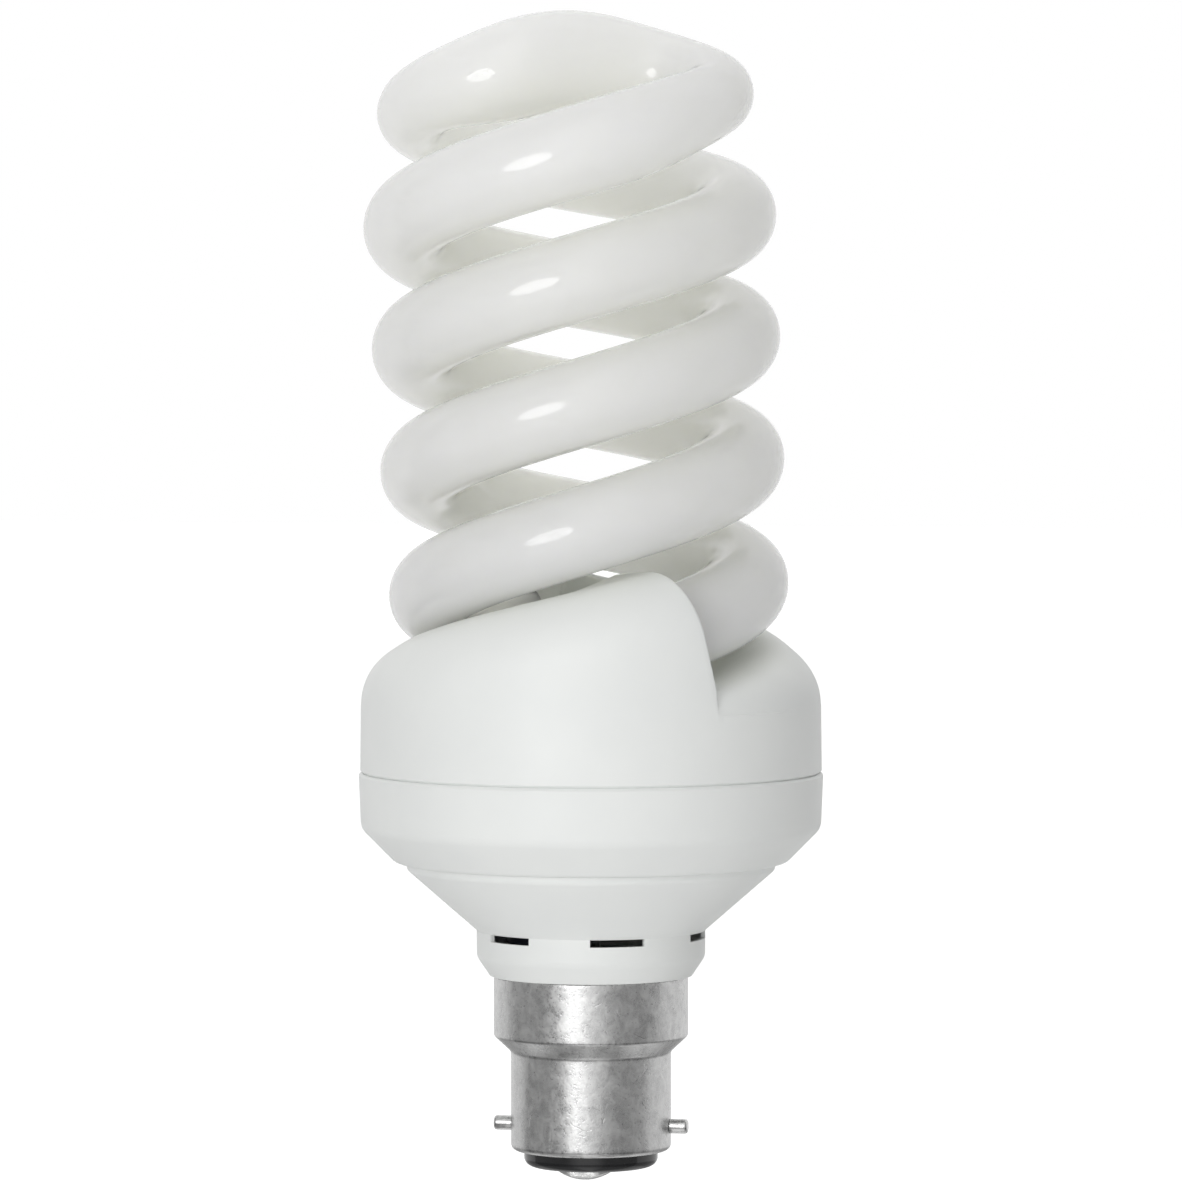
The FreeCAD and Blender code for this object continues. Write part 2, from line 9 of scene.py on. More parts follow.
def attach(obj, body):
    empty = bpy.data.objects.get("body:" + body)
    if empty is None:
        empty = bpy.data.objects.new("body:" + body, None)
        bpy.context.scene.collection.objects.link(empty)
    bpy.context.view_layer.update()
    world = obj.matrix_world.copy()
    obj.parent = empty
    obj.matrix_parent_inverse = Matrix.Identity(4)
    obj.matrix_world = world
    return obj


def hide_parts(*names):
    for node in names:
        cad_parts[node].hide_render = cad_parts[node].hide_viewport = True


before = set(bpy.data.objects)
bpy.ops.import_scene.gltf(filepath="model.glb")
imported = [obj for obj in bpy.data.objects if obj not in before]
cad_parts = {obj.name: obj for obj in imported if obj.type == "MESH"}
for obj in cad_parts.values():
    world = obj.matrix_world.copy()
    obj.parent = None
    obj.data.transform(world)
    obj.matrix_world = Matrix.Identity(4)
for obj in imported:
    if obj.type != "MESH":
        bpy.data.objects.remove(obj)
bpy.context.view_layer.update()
mm = 0.001
scene = bpy.context.scene
print("frame loaded,", len(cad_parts), "nodes")

# sizes that several pieces share, in mm
lamp = dict(
    seamZ=48.6,            # joint between cover and case
    coilZ=73.7,            # tube centre at coil angle 0
    tubeRadius=5.92,
    coilRadius=21.54,
    coilSpread=0.59,       # radius gained per turn
    coilPitch=34.2,
    pitchChange=-0.45,
    coilTurns=1.895,
    endAngle=-116.0,       # where the tube ends, inside the cover
    leanSide=2.95,         # the coil stands a little out of square
    leanBack=1.06,
    coilPhase=10.0,
)


def addNode(tree, kind, inputs=None, **settings):
    node = tree.nodes.new(kind)
    for key, value in settings.items():
        setattr(node, key, value)
    for key, value in (inputs or {}).items():
        connect(tree, value, node.inputs[key])
    return node


def connect(tree, value, socket):
    if isinstance(value, Field):
        value = value.socket
    if isinstance(value, bpy.types.NodeSocket):
        tree.links.new(value, socket)
    else:
        socket.default_value = value


class Field:
    # a number in a node tree, so that a rule can be written as a sum
    def __init__(self, tree, socket):
        self.tree = tree
        self.socket = socket

    def op(self, operation, other=None, third=None):
        given = {i: v for i, v in enumerate((self, other, third)) if v is not None}
        node = addNode(self.tree, "ShaderNodeMath", given, operation=operation)
        return Field(self.tree, node.outputs[0])

    def __add__(self, other):
        return self.op("ADD", other)

    def __sub__(self, other):
        return self.op("SUBTRACT", other)

    def __mul__(self, other):
        return self.op("MULTIPLY", other)

    def __truediv__(self, other):
        return self.op("DIVIDE", other)

    def __lt__(self, other):
        return self.op("LESS_THAN", other)

    def __gt__(self, other):
        return self.op("GREATER_THAN", other)


def pick(test, yes, no):
    return (no * -1 + yes) * test + no


# 0 before the first value, 1 past the last, eased between
def easedStep(value, first, last):
    t = ((value - first) / (last - first)).op("MAXIMUM", 0).op("MINIMUM", 1)
    return t * t * (t * -2 + 3)


# a tree with a named input for each size, and a function that reads them
def nodeGroup(name, inputs):
    tree = bpy.data.node_groups.new(name, "GeometryNodeTree")
    for way in ("INPUT", "OUTPUT"):
        tree.interface.new_socket("Geometry", in_out=way, socket_type="NodeSocketGeometry")
    kinds = {float: "NodeSocketFloat", int: "NodeSocketInt", bpy.types.Material: "NodeSocketMaterial"}
    for label, value in inputs.items():
        tree.interface.new_socket(label, in_out="INPUT", socket_type=kinds[type(value)])
    given = tree.nodes.new("NodeGroupInput")

    def size(label):
        return Field(tree, given.outputs[label])

    return tree, size


def endGroup(tree, geometry, material):
    real = addNode(tree, "GeometryNodeRealizeInstances", {0: geometry})
    dressed = addNode(tree, "GeometryNodeSetMaterial", {0: real.outputs[0], "Material": material})
    result = tree.nodes.new("NodeGroupOutput")
    tree.links.new(dressed.outputs[0], result.inputs[0])
    return tree


def runTree(obj, tree, inputs):
    modifier = obj.modifiers.new(tree.name, "NODES")
    modifier.node_group = tree
    for item in tree.interface.items_tree:
        if item.item_type == "SOCKET" and item.in_out == "INPUT" and item.name in inputs:
            modifier[item.identifier] = inputs[item.name]
    bpy.context.view_layer.update()
    graph = bpy.context.evaluated_depsgraph_get()
    plain = bpy.data.meshes.new_from_object(obj.evaluated_get(graph))
    obj.modifiers.clear()
    old = obj.data
    obj.data = plain
    bpy.data.meshes.remove(old)


def newObject(name, points, faces):
    mesh = bpy.data.meshes.new(name)
    mesh.from_pydata([tuple(p) for p in points], [], [tuple(f) for f in faces])
    obj = bpy.data.objects.new(name, mesh)
    scene.collection.objects.link(obj)
    return obj


def smoothFaces(obj, sharpAngle=38):
    obj.data.shade_smooth()
    obj.data.set_sharp_from_angle(angle=math.radians(sharpAngle))


def cleanMesh(obj, mergeDistance=0.002 * mm, sharpAngle=38):
    work = bmesh.new()
    work.from_mesh(obj.data)
    bmesh.ops.remove_doubles(work, verts=work.verts, dist=mergeDistance)
    bmesh.ops.dissolve_degenerate(work, dist=mergeDistance / 2, edges=work.edges)
    bmesh.ops.recalc_face_normals(work, faces=work.faces)
    work.to_mesh(obj.data)
    work.free()
    smoothFaces(obj, sharpAngle)


def settle(obj, material, node):
    if not obj.data.materials:
        obj.data.materials.append(material)
    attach(obj, "root")
    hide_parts(node)
    print(obj.name, len(obj.data.polygons), "faces")


# round the corners of an outline of (radius, height, rounding) points
def roundedOutline(points, segments=8):
    made = []
    count = len(points)
    for i, point in enumerate(points):
        at = Vector(point[:2])
        radius = point[2] if len(point) > 2 else 0
        if radius == 0:
            made.append(at)
            continue
        toBefore = Vector(points[i - 1][:2]) - at
        toAfter = Vector(points[(i + 1) % count][:2]) - at
        half = toBefore.angle(toAfter) / 2
        setback = min(radius / math.tan(half), 0.49 * toBefore.length, 0.49 * toAfter.length)
        radius = setback * math.tan(half)
        toBefore.normalize()
        toAfter.normalize()
        centre = at + (toBefore + toAfter).normalized() * (radius / math.sin(half))
        start = at + toBefore * setback - centre
        sweep = start.angle_signed(at + toAfter * setback - centre)
        for k in range(segments + 1):
            turn = Matrix.Rotation(-sweep * k / segments, 2)
            made.append(centre + turn @ start)
    return made


# break long runs of an outline into steps
def dividedOutline(outline, step):
    made = []
    for i, at in enumerate(outline):
        after = outline[(i + 1) % len(outline)]
        count = max(1, round((after - at).length / step))
        made += [at.lerp(after, k / count) for k in range(count)]
    return made


def lathe(outline, columns, phase=0.0):
    rows = len(outline)
    points = []
    for j in range(columns):
        a = math.radians(phase) + 2 * math.pi * j / columns
        points += [Vector((p.x * math.cos(a), p.x * math.sin(a), p.y)) * mm for p in outline]
    faces = []
    for j in range(columns):
        near = j * rows
        far = (j + 1) % columns * rows
        for i in range(rows):
            k = (i + 1) % rows
            if outline[i].x > 0 or outline[k].x > 0:
                faces.append((near + i, near + k, far + k, far + i))
    return points, faces


def joined(*shapes):
    points = []
    faces = []
    for morePoints, moreFaces in shapes:
        base = len(points)
        points += list(morePoints)
        faces += [tuple(base + i for i in f) for f in moreFaces]
    return points, faces


# Materials
def newMaterial(name, color, roughness, **settings):
    material = bpy.data.materials.new(name)
    material.use_nodes = True
    tree = material.node_tree
    shader = tree.nodes["Principled BSDF"]
    shader.inputs["Base Color"].default_value = (*color, 1)
    shader.inputs["Roughness"].default_value = roughness
    for label, value in settings.items():
        shader.inputs[label].default_value = value
    return material, tree, shader


def objectNoise(tree, scale, detail=3.0, roughness=0.55, stretch=(1, 1, 1), distortion=0.0):
    coordinates = addNode(tree, "ShaderNodeTexCoord").outputs["Object"]
    placed = addNode(tree, "ShaderNodeMapping", {"Vector": coordinates, "Scale": stretch})
    noise = addNode(tree, "ShaderNodeTexNoise", {
        "Vector": placed.outputs[0], "Scale": scale, "Detail": detail, "Roughness": roughness,
        "Distortion": distortion})
    return noise.outputs["Fac"]


def remap(tree, value, low, high, toLow, toHigh, smooth=False):
    node = addNode(tree, "ShaderNodeMapRange", {
        "Value": value, "From Min": low, "From Max": high, "To Min": toLow, "To Max": toHigh})
    if smooth:
        node.interpolation_type = "SMOOTHSTEP"
    return node.outputs[0]


def mixColors(tree, factor, first, second):
    node = addNode(tree, "ShaderNodeMix", data_type="RGBA")
    connect(tree, factor, node.inputs["Factor"])
    connect(tree, first, node.inputs[6])
    connect(tree, second, node.inputs[7])
    return node.outputs[2]


def addBump(tree, shader, height, strength, distance):
    bump = addNode(tree, "ShaderNodeBump", {"Height": height, "Strength": strength, "Distance": distance})
    tree.links.new(bump.outputs[0], shader.inputs["Normal"])


def tint(tree, shader, factor, first, second):
    mixed = mixColors(tree, factor, (*first, 1), (*second, 1))
    tree.links.new(mixed, shader.inputs["Base Color"])


def shine(tree, shader, value, low, high, limits):
    tree.links.new(remap(tree, value, low, high, *limits), shader.inputs["Roughness"])


def glassFinish():
    spec = dict(
        body=(0.955, 0.960, 0.868),
        thin=(0.966, 0.970, 0.892),     # where the coat is thinner
        depth=40.0,                     # how far light strays in it, in mm
        cloud=55.0,
        smear=900.0,
        shine=(0.012, 0.05),
        wave=95.0,
    )
    material, tree, shader = newMaterial("coatedGlass", spec["body"], 0.10, **{
        "IOR": 1.5, "Subsurface Weight": 1.0, "Subsurface Radius": (1.0, 1.0, 0.92),
        "Subsurface Scale": spec["depth"] * mm})
    cloud = objectNoise(tree, spec["cloud"], 4.0, 0.6)
    tint(tree, shader, remap(tree, cloud, 0.3, 0.7, 0.0, 1.0), spec["body"], spec["thin"])
    smear = objectNoise(tree, spec["smear"], 4.0, 0.7, (1, 1, 0.35))
    shine(tree, shader, smear, 0.35, 0.75, spec["shine"])
    addBump(tree, shader, objectNoise(tree, spec["wave"], 2.0, 0.4), 0.06, 0.4 * mm)
    return material


def plasticFinish():
    spec = dict(
        body=(0.868, 0.884, 0.868),
        shade=(0.845, 0.862, 0.850),
        cloud=70.0,
        rub=240.0,                      # handling, seen in the shine
        shine=(0.36, 0.50),
        grain=5200.0,
    )
    material, tree, shader = newMaterial("whitePlastic", spec["body"], 0.42, **{
        "IOR": 1.48, "Specular IOR Level": 0.42})
    cloud = objectNoise(tree, spec["cloud"], 3.0)
    tint(tree, shader, remap(tree, cloud, 0.35, 0.7, 0.0, 1.0), spec["body"], spec["shade"])
    rub = objectNoise(tree, spec["rub"], 5.0, 0.65)
    shine(tree, shader, rub, 0.3, 0.75, spec["shine"])
    addBump(tree, shader, objectNoise(tree, spec["grain"], 2.0), 0.05, 0.05 * mm)
    return material


def capMetalFinish():
    spec = dict(
        light=(0.76, 0.76, 0.755),
        dark=(0.51, 0.51, 0.51),
        pit=(0.26, 0.26, 0.26),
        mottle=620.0,
        speck=2900.0,
        shine=(0.21, 0.46),
        scratchCell=190.0,
        scratchBend=160.0,
        scratchPush=6.0,                # how far the cells are bent, in mm
        scratchWorn=330.0,
    )
    material, tree, shader = newMaterial("drawnMetal", spec["light"], 0.3, Metallic=1.0)
    mottle = objectNoise(tree, spec["mottle"], 5.0, 0.68, (1, 1, 0.8), 0.6)
    speck = objectNoise(tree, spec["speck"], 3.0, 0.6)
    tone = mixColors(tree, remap(tree, mottle, 0.34, 0.66, 0.0, 1.0), (*spec["dark"], 1), (*spec["light"], 1))
    pits = remap(tree, speck, 0.25, 0.37, 1.0, 0.0, True)
    tone = mixColors(tree, pits, tone, (*spec["pit"], 1))
    tree.links.new(tone, shader.inputs["Base Color"])
    grain = Field(tree, mottle) + speck
    shine(tree, shader, grain, 0.75, 1.3, spec["shine"])
    # long curved scratches: thin edges of large bent cells, worn away in places
    coordinates = addNode(tree, "ShaderNodeTexCoord").outputs["Object"]
    push = Field(tree, objectNoise(tree, spec["scratchBend"], 2.0)) * (spec["scratchPush"] * mm)
    pushed = addNode(tree, "ShaderNodeVectorMath", {0: coordinates}, operation="ADD")
    tree.links.new(push.socket, pushed.inputs[1])
    cells = addNode(tree, "ShaderNodeTexVoronoi", {
        "Vector": pushed.outputs[0], "Scale": spec["scratchCell"]}, feature="DISTANCE_TO_EDGE")
    line = remap(tree, cells.outputs["Distance"], 0.0, 0.022, 1.0, 0.0)
    kept = remap(tree, objectNoise(tree, spec["scratchWorn"], 1.0), 0.56, 0.62, 0.0, 1.0)
    addBump(tree, shader, grain - Field(tree, line) * kept, 0.35, 0.06 * mm)
    return material


# one noise that moves both the tone and the shine, and the bump where it has any
def mottledFinish(name, spec, **settings):
    material, tree, shader = newMaterial(name, spec["tone"], spec["roughness"], **settings)
    pattern = objectNoise(tree, spec["grain"], spec["detail"], spec.get("fine", 0.55))
    spread = remap(tree, pattern, *spec["spread"], 0, 1) if "spread" in spec else pattern
    tint(tree, shader, spread, spec["dark"], spec["light"])
    shine(tree, shader, pattern, 0.3, 0.7, spec["shine"])
    if "bump" in spec:
        addBump(tree, shader, pattern, *spec["bump"])
    return material


pinSpec = dict(
    tone=(0.72, 0.72, 0.715), light=(0.75, 0.75, 0.745), dark=(0.52, 0.52, 0.52), spread=(0.35, 0.6),
    roughness=0.2, shine=(0.14, 0.34), grain=1500.0, detail=4.0)
blackGlassSpec = dict(
    tone=(0.008, 0.008, 0.009), light=(0.02, 0.02, 0.021), dark=(0.004, 0.004, 0.005),
    roughness=0.08, shine=(0.04, 0.13), grain=420.0, detail=3.0, bump=(0.12, 0.15 * mm))
solderSpec = dict(
    tone=(0.72, 0.72, 0.71), light=(0.82, 0.82, 0.81), dark=(0.45, 0.45, 0.45),
    roughness=0.22, shine=(0.14, 0.36), grain=700.0, detail=3.0, bump=(0.35, 0.2 * mm))


coatedGlass = glassFinish()
whitePlastic = plasticFinish()
drawnMetal = capMetalFinish()
pinMetal = mottledFinish("pinMetal", pinSpec, Metallic=1.0)
blackGlass = mottledFinish("blackGlass", blackGlassSpec, IOR=1.55)
solder = mottledFinish("solder", solderSpec, Metallic=1.0)
print("materials made")


# Glass spiral tube: a path by rule, swept by a ring
spiral = dict(
    straight=6.4,          # half of the crossing's straight middle
    rise=10.2,             # of the crossing, over the coil's last turn
    lateRise=1.15,
    fullTurn=0.055,        # how much fuller the tube is after the crossing
    fullReach=2.4,         # in coil radii, to where it is plain again
    fullCrossing=0.105,    # how much fuller still in the crossing
    fullFade=(0.2, 1.0),   # from here on in shares of half the crossing's length, out from its middle
    liftFade=(0.3, 1.2),   # grown downwards before, upwards after
    thinBend=0.23,         # how much thinner in the bends beside the crossing
    thinIn=(0.15, 0.6),
    thinOut=(0.8, 1.5),
    bendReach=0.85,        # share of that loss that the bends are moved out by
    endRound=2.4,
    points=860,
    ringPoints=48,
    easing=8,
)


def spiralRule(inputs):
    tree, size = nodeGroup("spiralRule", inputs)
    reach = size("Coil Radius") + size("Coil Spread") * size("Turns")
    straight = size("Crossing Straight")
    bend = (reach * reach - straight * straight) / (reach * 2)
    aim = (bend / (reach - bend)).op("ARCSINE")
    crossing = bend * (aim + math.pi / 2) + straight
    lastAngle = size("Turns") * (2 * math.pi)
    whole = crossing + reach * (lastAngle - size("End Angle"))
    index = Field(tree, addNode(tree, "GeometryNodeInputIndex").outputs[0])
    share = index / (size("Points") - 1) * 2 - 1
    run = share.op("ABSOLUTE") * whole               # from the middle of the crossing outwards
    onStraight = run < straight
    onCrossing = run < crossing

    # the crossing climbs from the coil's own slope to level at the axis
    bendAngle = (crossing - run) / bend
    v = ((crossing - run) / crossing).op("MAXIMUM", 0)
    endZ = size("Coil Height") + (size("Pitch") + size("Pitch Change") * size("Turns")) * size("Turns")
    slope = (size("Pitch") + size("Pitch Change") * size("Turns") * 2) / (reach * (2 * math.pi)) * crossing
    w = v.op("POWER", size("Late Rise"))
    crossZ = endZ + slope * (v * v * v - v * v * 2 + v) + size("Crossing Rise") * (w * w * 3 - w * w * w * 2)

    angle = lastAngle - (run - crossing) / reach
    turn = angle / (2 * math.pi)
    coilRadius = size("Coil Radius") + size("Coil Spread") * turn
    coilZ = size("Coil Height") + size("Pitch") * turn + size("Pitch Change") * turn * turn.op("ABSOLUTE")
    fromEnd = angle - lastAngle
    x = pick(onCrossing, reach - bend + bend * bendAngle.op("COSINE"), coilRadius * fromEnd.op("COSINE"))
    x = pick(onStraight, run * aim.op("COSINE"), x)
    y = pick(onCrossing, bend * bendAngle.op("SINE"), coilRadius * fromEnd.op("SINE"))
    y = pick(onStraight, run * aim.op("SINE"), y)
    z = pick(onCrossing, crossZ, coilZ)

    # the former left the crossing and the turn after it a little fuller, and the bends between them thinner
    def faded(first, last):
        return easedStep(run, crossing * first, crossing * last)

    full = (easedStep(run, crossing, reach * spiral["fullReach"] + crossing) * -1 + 1) * size("Full Turn")
    full = full + (faded(*spiral["fullFade"]) * -1 + 1) * size("Full Crossing")
    z = z + full * size("Tube Radius") * (faded(*spiral["liftFade"]) * 2 - 1)
    thin = faded(*spiral["thinIn"]) * (faded(*spiral["thinOut"]) * -1 + 1) * size("Thin Bend")
    z = z + thin * size("Tube Radius")
    x = x + thin * size("Tube Radius") * size("Bend Reach")
    full = full - thin

    place = addNode(tree, "ShaderNodeCombineXYZ", {0: x, 1: y, 2: z}).outputs[0]
    half = (share < 0) * math.pi
    seat = addNode(tree, "ShaderNodeCombineXYZ", {2: size("Coil Height") - size("Tube Radius")}).outputs[0]
    turns = (("Z_AXIS", lastAngle + half, None), ("Y_AXIS", size("Lean Side") * -1, seat),
             ("X_AXIS", size("Lean Back") * -1, seat), ("Z_AXIS", size("Phase"), None))
    for axis, amount, centre in turns:
        node = addNode(tree, "ShaderNodeVectorRotate", {"Vector": place, "Angle": amount}, rotation_type=axis)
        if centre:
            tree.links.new(centre, node.inputs["Center"])
        place = node.outputs[0]
    eased = addNode(tree, "GeometryNodeBlurAttribute", data_type="FLOAT_VECTOR")
    connect(tree, place, eased.inputs["Value"])
    connect(tree, size("Easing"), eased.inputs["Iterations"])

    line = addNode(tree, "GeometryNodeCurvePrimitiveLine")
    path = addNode(tree, "GeometryNodeResampleCurve", {"Curve": line.outputs[0], "Count": size("Points")})
    path = addNode(tree, "GeometryNodeSetPosition", {
        "Geometry": path.outputs[0], "Position": eased.outputs[0]})
    ring = addNode(tree, "GeometryNodeCurvePrimitiveCircle", {
        "Resolution": size("Ring Points"), "Radius": size("Tube Radius")})
    # the tube's ends are drawn in round
    past = ((whole - run) / size("End Round")).op("MINIMUM", 1) * -1 + 1
    drawn = (past * past * -1 + 1).op("MAXIMUM", 0).op("SQRT") * -1 + 1
    scale = drawn * (size("End Round") / size("Tube Radius")) * -1 + 1 + full
    swept = addNode(tree, "GeometryNodeCurveToMesh", {
        "Curve": path.outputs[0], "Profile Curve": ring.outputs[0], "Scale": scale, "Fill Caps": True})
    smooth = addNode(tree, "GeometryNodeSetShadeSmooth", {0: swept.outputs[0]})
    return endGroup(tree, smooth.outputs[0], size("Glass"))


def spiralTube():
    inputs = {
        "Coil Radius": lamp["coilRadius"] * mm,
        "Coil Spread": lamp["coilSpread"] * mm,
        "Pitch": lamp["coilPitch"] * mm,
        "Pitch Change": lamp["pitchChange"] * mm,
        "Turns": lamp["coilTurns"],
        "End Angle": math.radians(lamp["endAngle"]),
        "Coil Height": lamp["coilZ"] * mm,
        "Tube Radius": lamp["tubeRadius"] * mm,
        "Crossing Straight": spiral["straight"] * mm,
        "Crossing Rise": spiral["rise"] * mm,
        "Late Rise": spiral["lateRise"],
        "Full Turn": spiral["fullTurn"],
        "Full Crossing": spiral["fullCrossing"],
        "Thin Bend": spiral["thinBend"],
        "Bend Reach": spiral["bendReach"],
        "End Round": spiral["endRound"] * mm,
        "Lean Side": math.radians(lamp["leanSide"]),
        "Lean Back": math.radians(lamp["leanBack"]),
        "Phase": math.radians(lamp["coilPhase"]),
        "Points": spiral["points"],
        "Ring Points": spiral["ringPoints"],
        "Easing": spiral["easing"],
        "Glass": coatedGlass,
    }
    obj = newObject("glassSpiralTube", [], [])
    runTree(obj, spiralRule(inputs), inputs)
    cleanMesh(obj, sharpAngle=60)
    settle(obj, coatedGlass, "glass_spiral_tube")


spiralTube()


# Upper cover: two lobes that climb under the coil, each with a mouth at its high end
cover = dict(
    radius=31.65,
    wall=1.5,
    draft=0.1,
    chamfer=0.35,
    rampGap=1.5,           # from the tube down to the ramp
    ledge=2.8,             # crest rounding where a lobe starts
    ledgeStep=0.16,        # set back from the wall there
    ledgeStart=1.5,        # degrees over which the step opens
    ledgeFade=80.0,        # degrees to where it is flush
    wallShare=0.985,       # the wall's rows stop just under the step
    crest=9.3,             # crest rounding further up
    bore=12.92,            # well in the middle
    wellEdge=0.6,
    mouthAngle=-57.5,
    mouthFoot=0.3,
    mouthEdge=0.45,        # rounding of the mouth's rim
    mouthGap=0.4,          # round the tube
    mouthSearch=(-30, 20),  # degrees about the mouth in which the tube passes it
    rimStart=0.2,          # share of the ledge where the rim's rounding begins
    tongueOuter=29.95,
    tongueWall=1.4,
    tongueFoot=44.8,
    tongueRoot=2.0,
    tongueRound=0.3,
)
coverGrid = dict(wall=9, crest=30, ramp=8, edge=4, inner=12, foot=4, floor=6, columns=144, rim=4, face=7,
                 tongue=120)


def rampZ(angle):
    return lamp["coilZ"] + lamp["coilPitch"] * angle / 360 - lamp["tubeRadius"] - cover["rampGap"]


def coverLayout():
    starts = {}
    row = 1
    for part in ("wall", "crest", "ramp", "edge", "inner", "foot", "floor"):
        starts[part] = row
        row += coverGrid[part] + (1 if part == "crest" else 0)
    return starts, row


# radius and height of every row of the skin, at the angle of each point
def coverSection(angle, inset, isInner):
    starts, _ = coverLayout()
    lowTop = rampZ(cover["mouthAngle"])
    wallTop = lowTop - cover["ledge"]
    rounding = np.minimum(rampZ(angle) - wallTop, cover["crest"])
    rounding = np.maximum(rounding - inset, cover["ledge"] / 2)
    ledgeHere = np.maximum(cover["ledge"] - inset, cover["ledge"] / 2)
    top = rampZ(angle) - inset
    crestFoot = lowTop - inset - ledgeHere
    past = angle - cover["mouthAngle"]
    step = np.clip(past / cover["ledgeStart"], 0, 1) * np.clip(1 - past / cover["ledgeFade"], 0, 1)
    outer = cover["radius"] - cover["draft"] - inset - (0 if isInner else step * cover["ledgeStep"])
    bore = cover["bore"] + inset
    edge = cover["wellEdge"]
    split = lowTop - inset - edge
    floorZ = wallTop - inset if isInner else np.full_like(angle, wallTop)
    r = np.zeros_like(angle)
    z = np.zeros_like(angle)

    def rowsOf(part, first, last):
        t = np.linspace(first, last, coverGrid[part] + (1 if part == "crest" else 0))[:, None]
        return slice(starts[part], starts[part] + len(t)), t

    chamfer = 0 if isInner else cover["chamfer"]
    wide = cover["radius"] - (cover["wall"] if isInner else 0)
    r[0] = wide - chamfer
    z[0] = lamp["seamZ"]
    at, t = rowsOf("wall", 0, cover["wallShare"])
    low = lamp["seamZ"] + cover["chamfer"]
    r[at] = wide - cover["draft"] * t
    z[at] = low + t * (crestFoot[at] - low)
    at, t = rowsOf("crest", 0, 1)
    upright = np.maximum(top[at] - rounding[at] - crestFoot[at], 0)
    along = t * (upright + rounding[at] * math.pi / 2)
    turn = np.maximum(along - upright, 0) / rounding[at]
    r[at] = outer[at] - rounding[at] * (1 - np.cos(turn))
    z[at] = crestFoot[at] + np.minimum(along, upright) + rounding[at] * np.sin(turn)
    at, t = rowsOf("ramp", 1 / coverGrid["ramp"], 1)
    r[at] = (outer[at] - rounding[at]) * (1 - t) + (bore[at] + edge) * t
    z[at] = top[at]
    at, t = rowsOf("edge", 1 / coverGrid["edge"], 1)
    r[at] = bore[at] + edge * (1 - np.sin(t * math.pi / 2))
    z[at] = top[at] - edge * (1 - np.cos(t * math.pi / 2))
    at, t = rowsOf("inner", 1 / coverGrid["inner"], 1)
    r[at] = bore[at]
    z[at] = (top[at] - edge) * (1 - t) + split[at] * t
    at, t = rowsOf("foot", 1 / coverGrid["foot"], 1)
    r[at] = bore[at]
    z[at] = split[at] * (1 - t) + floorZ[at] * t
    at, t = rowsOf("floor", 1 / coverGrid["floor"], 1)
    r[at] = bore[at] * (1 - t)
    z[at] = floorZ[at]
    return r, z


def mouthTilt():
    return math.atan(lamp["coilPitch"] / (2 * math.pi * lamp["coilRadius"]))


# how far behind the mouth's foot its plane lies at a height
def mouthSlant(z):
    foot = rampZ(cover["mouthAngle"]) + cover["mouthFoot"]
    return np.maximum(z - foot, 0) * math.tan(mouthTilt())


# one lobe's skin, as rows by columns of points, before the lamp's own turn
def lobeSkin(inset):
    starts, rows = coverLayout()
    low = cover["mouthAngle"]
    setBack = inset / math.cos(mouthTilt())
    hold = np.ones((rows, 1))                     # the set-back fades out below the mouth and in the well
    hold[:starts["wall"]] = 0
    hold[starts["wall"]:starts["crest"], 0] = np.linspace(0, 1, coverGrid["wall"], endpoint=False)
    hold[starts["foot"]:starts["floor"], 0] = np.linspace(1, 0, coverGrid["foot"] + 1)[1:]
    hold[starts["floor"]:] = 0
    rim = cover["mouthEdge"]
    turns = np.linspace(0, math.pi / 2, coverGrid["rim"] + 1)
    c = np.concatenate([np.linspace(0, 1, coverGrid["columns"] + 1), np.ones(coverGrid["rim"])])[None, :]
    back = np.concatenate([np.full(coverGrid["columns"] + 1, rim), rim * (1 - np.sin(turns[1:]))])[None, :]
    sink = np.concatenate([np.zeros(coverGrid["columns"] + 1), rim * (1 - np.cos(turns[1:]))])[None, :]
    angle = low + 180 * c * np.ones((rows, 1))
    depth = np.full_like(angle, float(inset))
    for _ in range(6):
        r, z = coverSection(angle, depth, inset > 0)
        safe = np.maximum(r, 1e-6)
        end = -setBack * hold - mouthSlant(z) - back * np.minimum(1, safe / (2 * rim))
        last = 180 + np.degrees(np.arcsin(np.clip(end / safe, -1, 1)))
        first = np.degrees(np.arcsin(np.clip(-setBack * hold / safe, -1, 1)))
        angle = low + first * (1 - c) + last * c
        rise = (z - (rampZ(low) - cover["ledge"] - inset)) / cover["ledge"]
        rise = np.clip(rise - cover["rimStart"], 0, 1)
        depth = inset + sink * rise * rise * (3 - 2 * rise)
    a = np.radians(angle)
    return np.stack([r * np.cos(a), r * np.sin(a), z], axis=-1)


# centre of a leaned tube at a coil angle, before the lamp's own turn
def tubeCentre(angle, flip):
    turn = angle / 360
    radius = lamp["coilRadius"] + lamp["coilSpread"] * turn
    height = lamp["coilZ"] + lamp["coilPitch"] * turn + lamp["pitchChange"] * turn * abs(turn)
    a = math.radians(angle + (180 if flip else 0))
    seat = Vector((0, 0, lamp["coilZ"] - lamp["tubeRadius"]))
    lean = Matrix.Rotation(math.radians(-lamp["leanBack"]), 3, "X")
    lean = lean @ Matrix.Rotation(math.radians(-lamp["leanSide"]), 3, "Y")
    return seat + lean @ (Vector((radius * math.cos(a), radius * math.sin(a), height)) - seat)


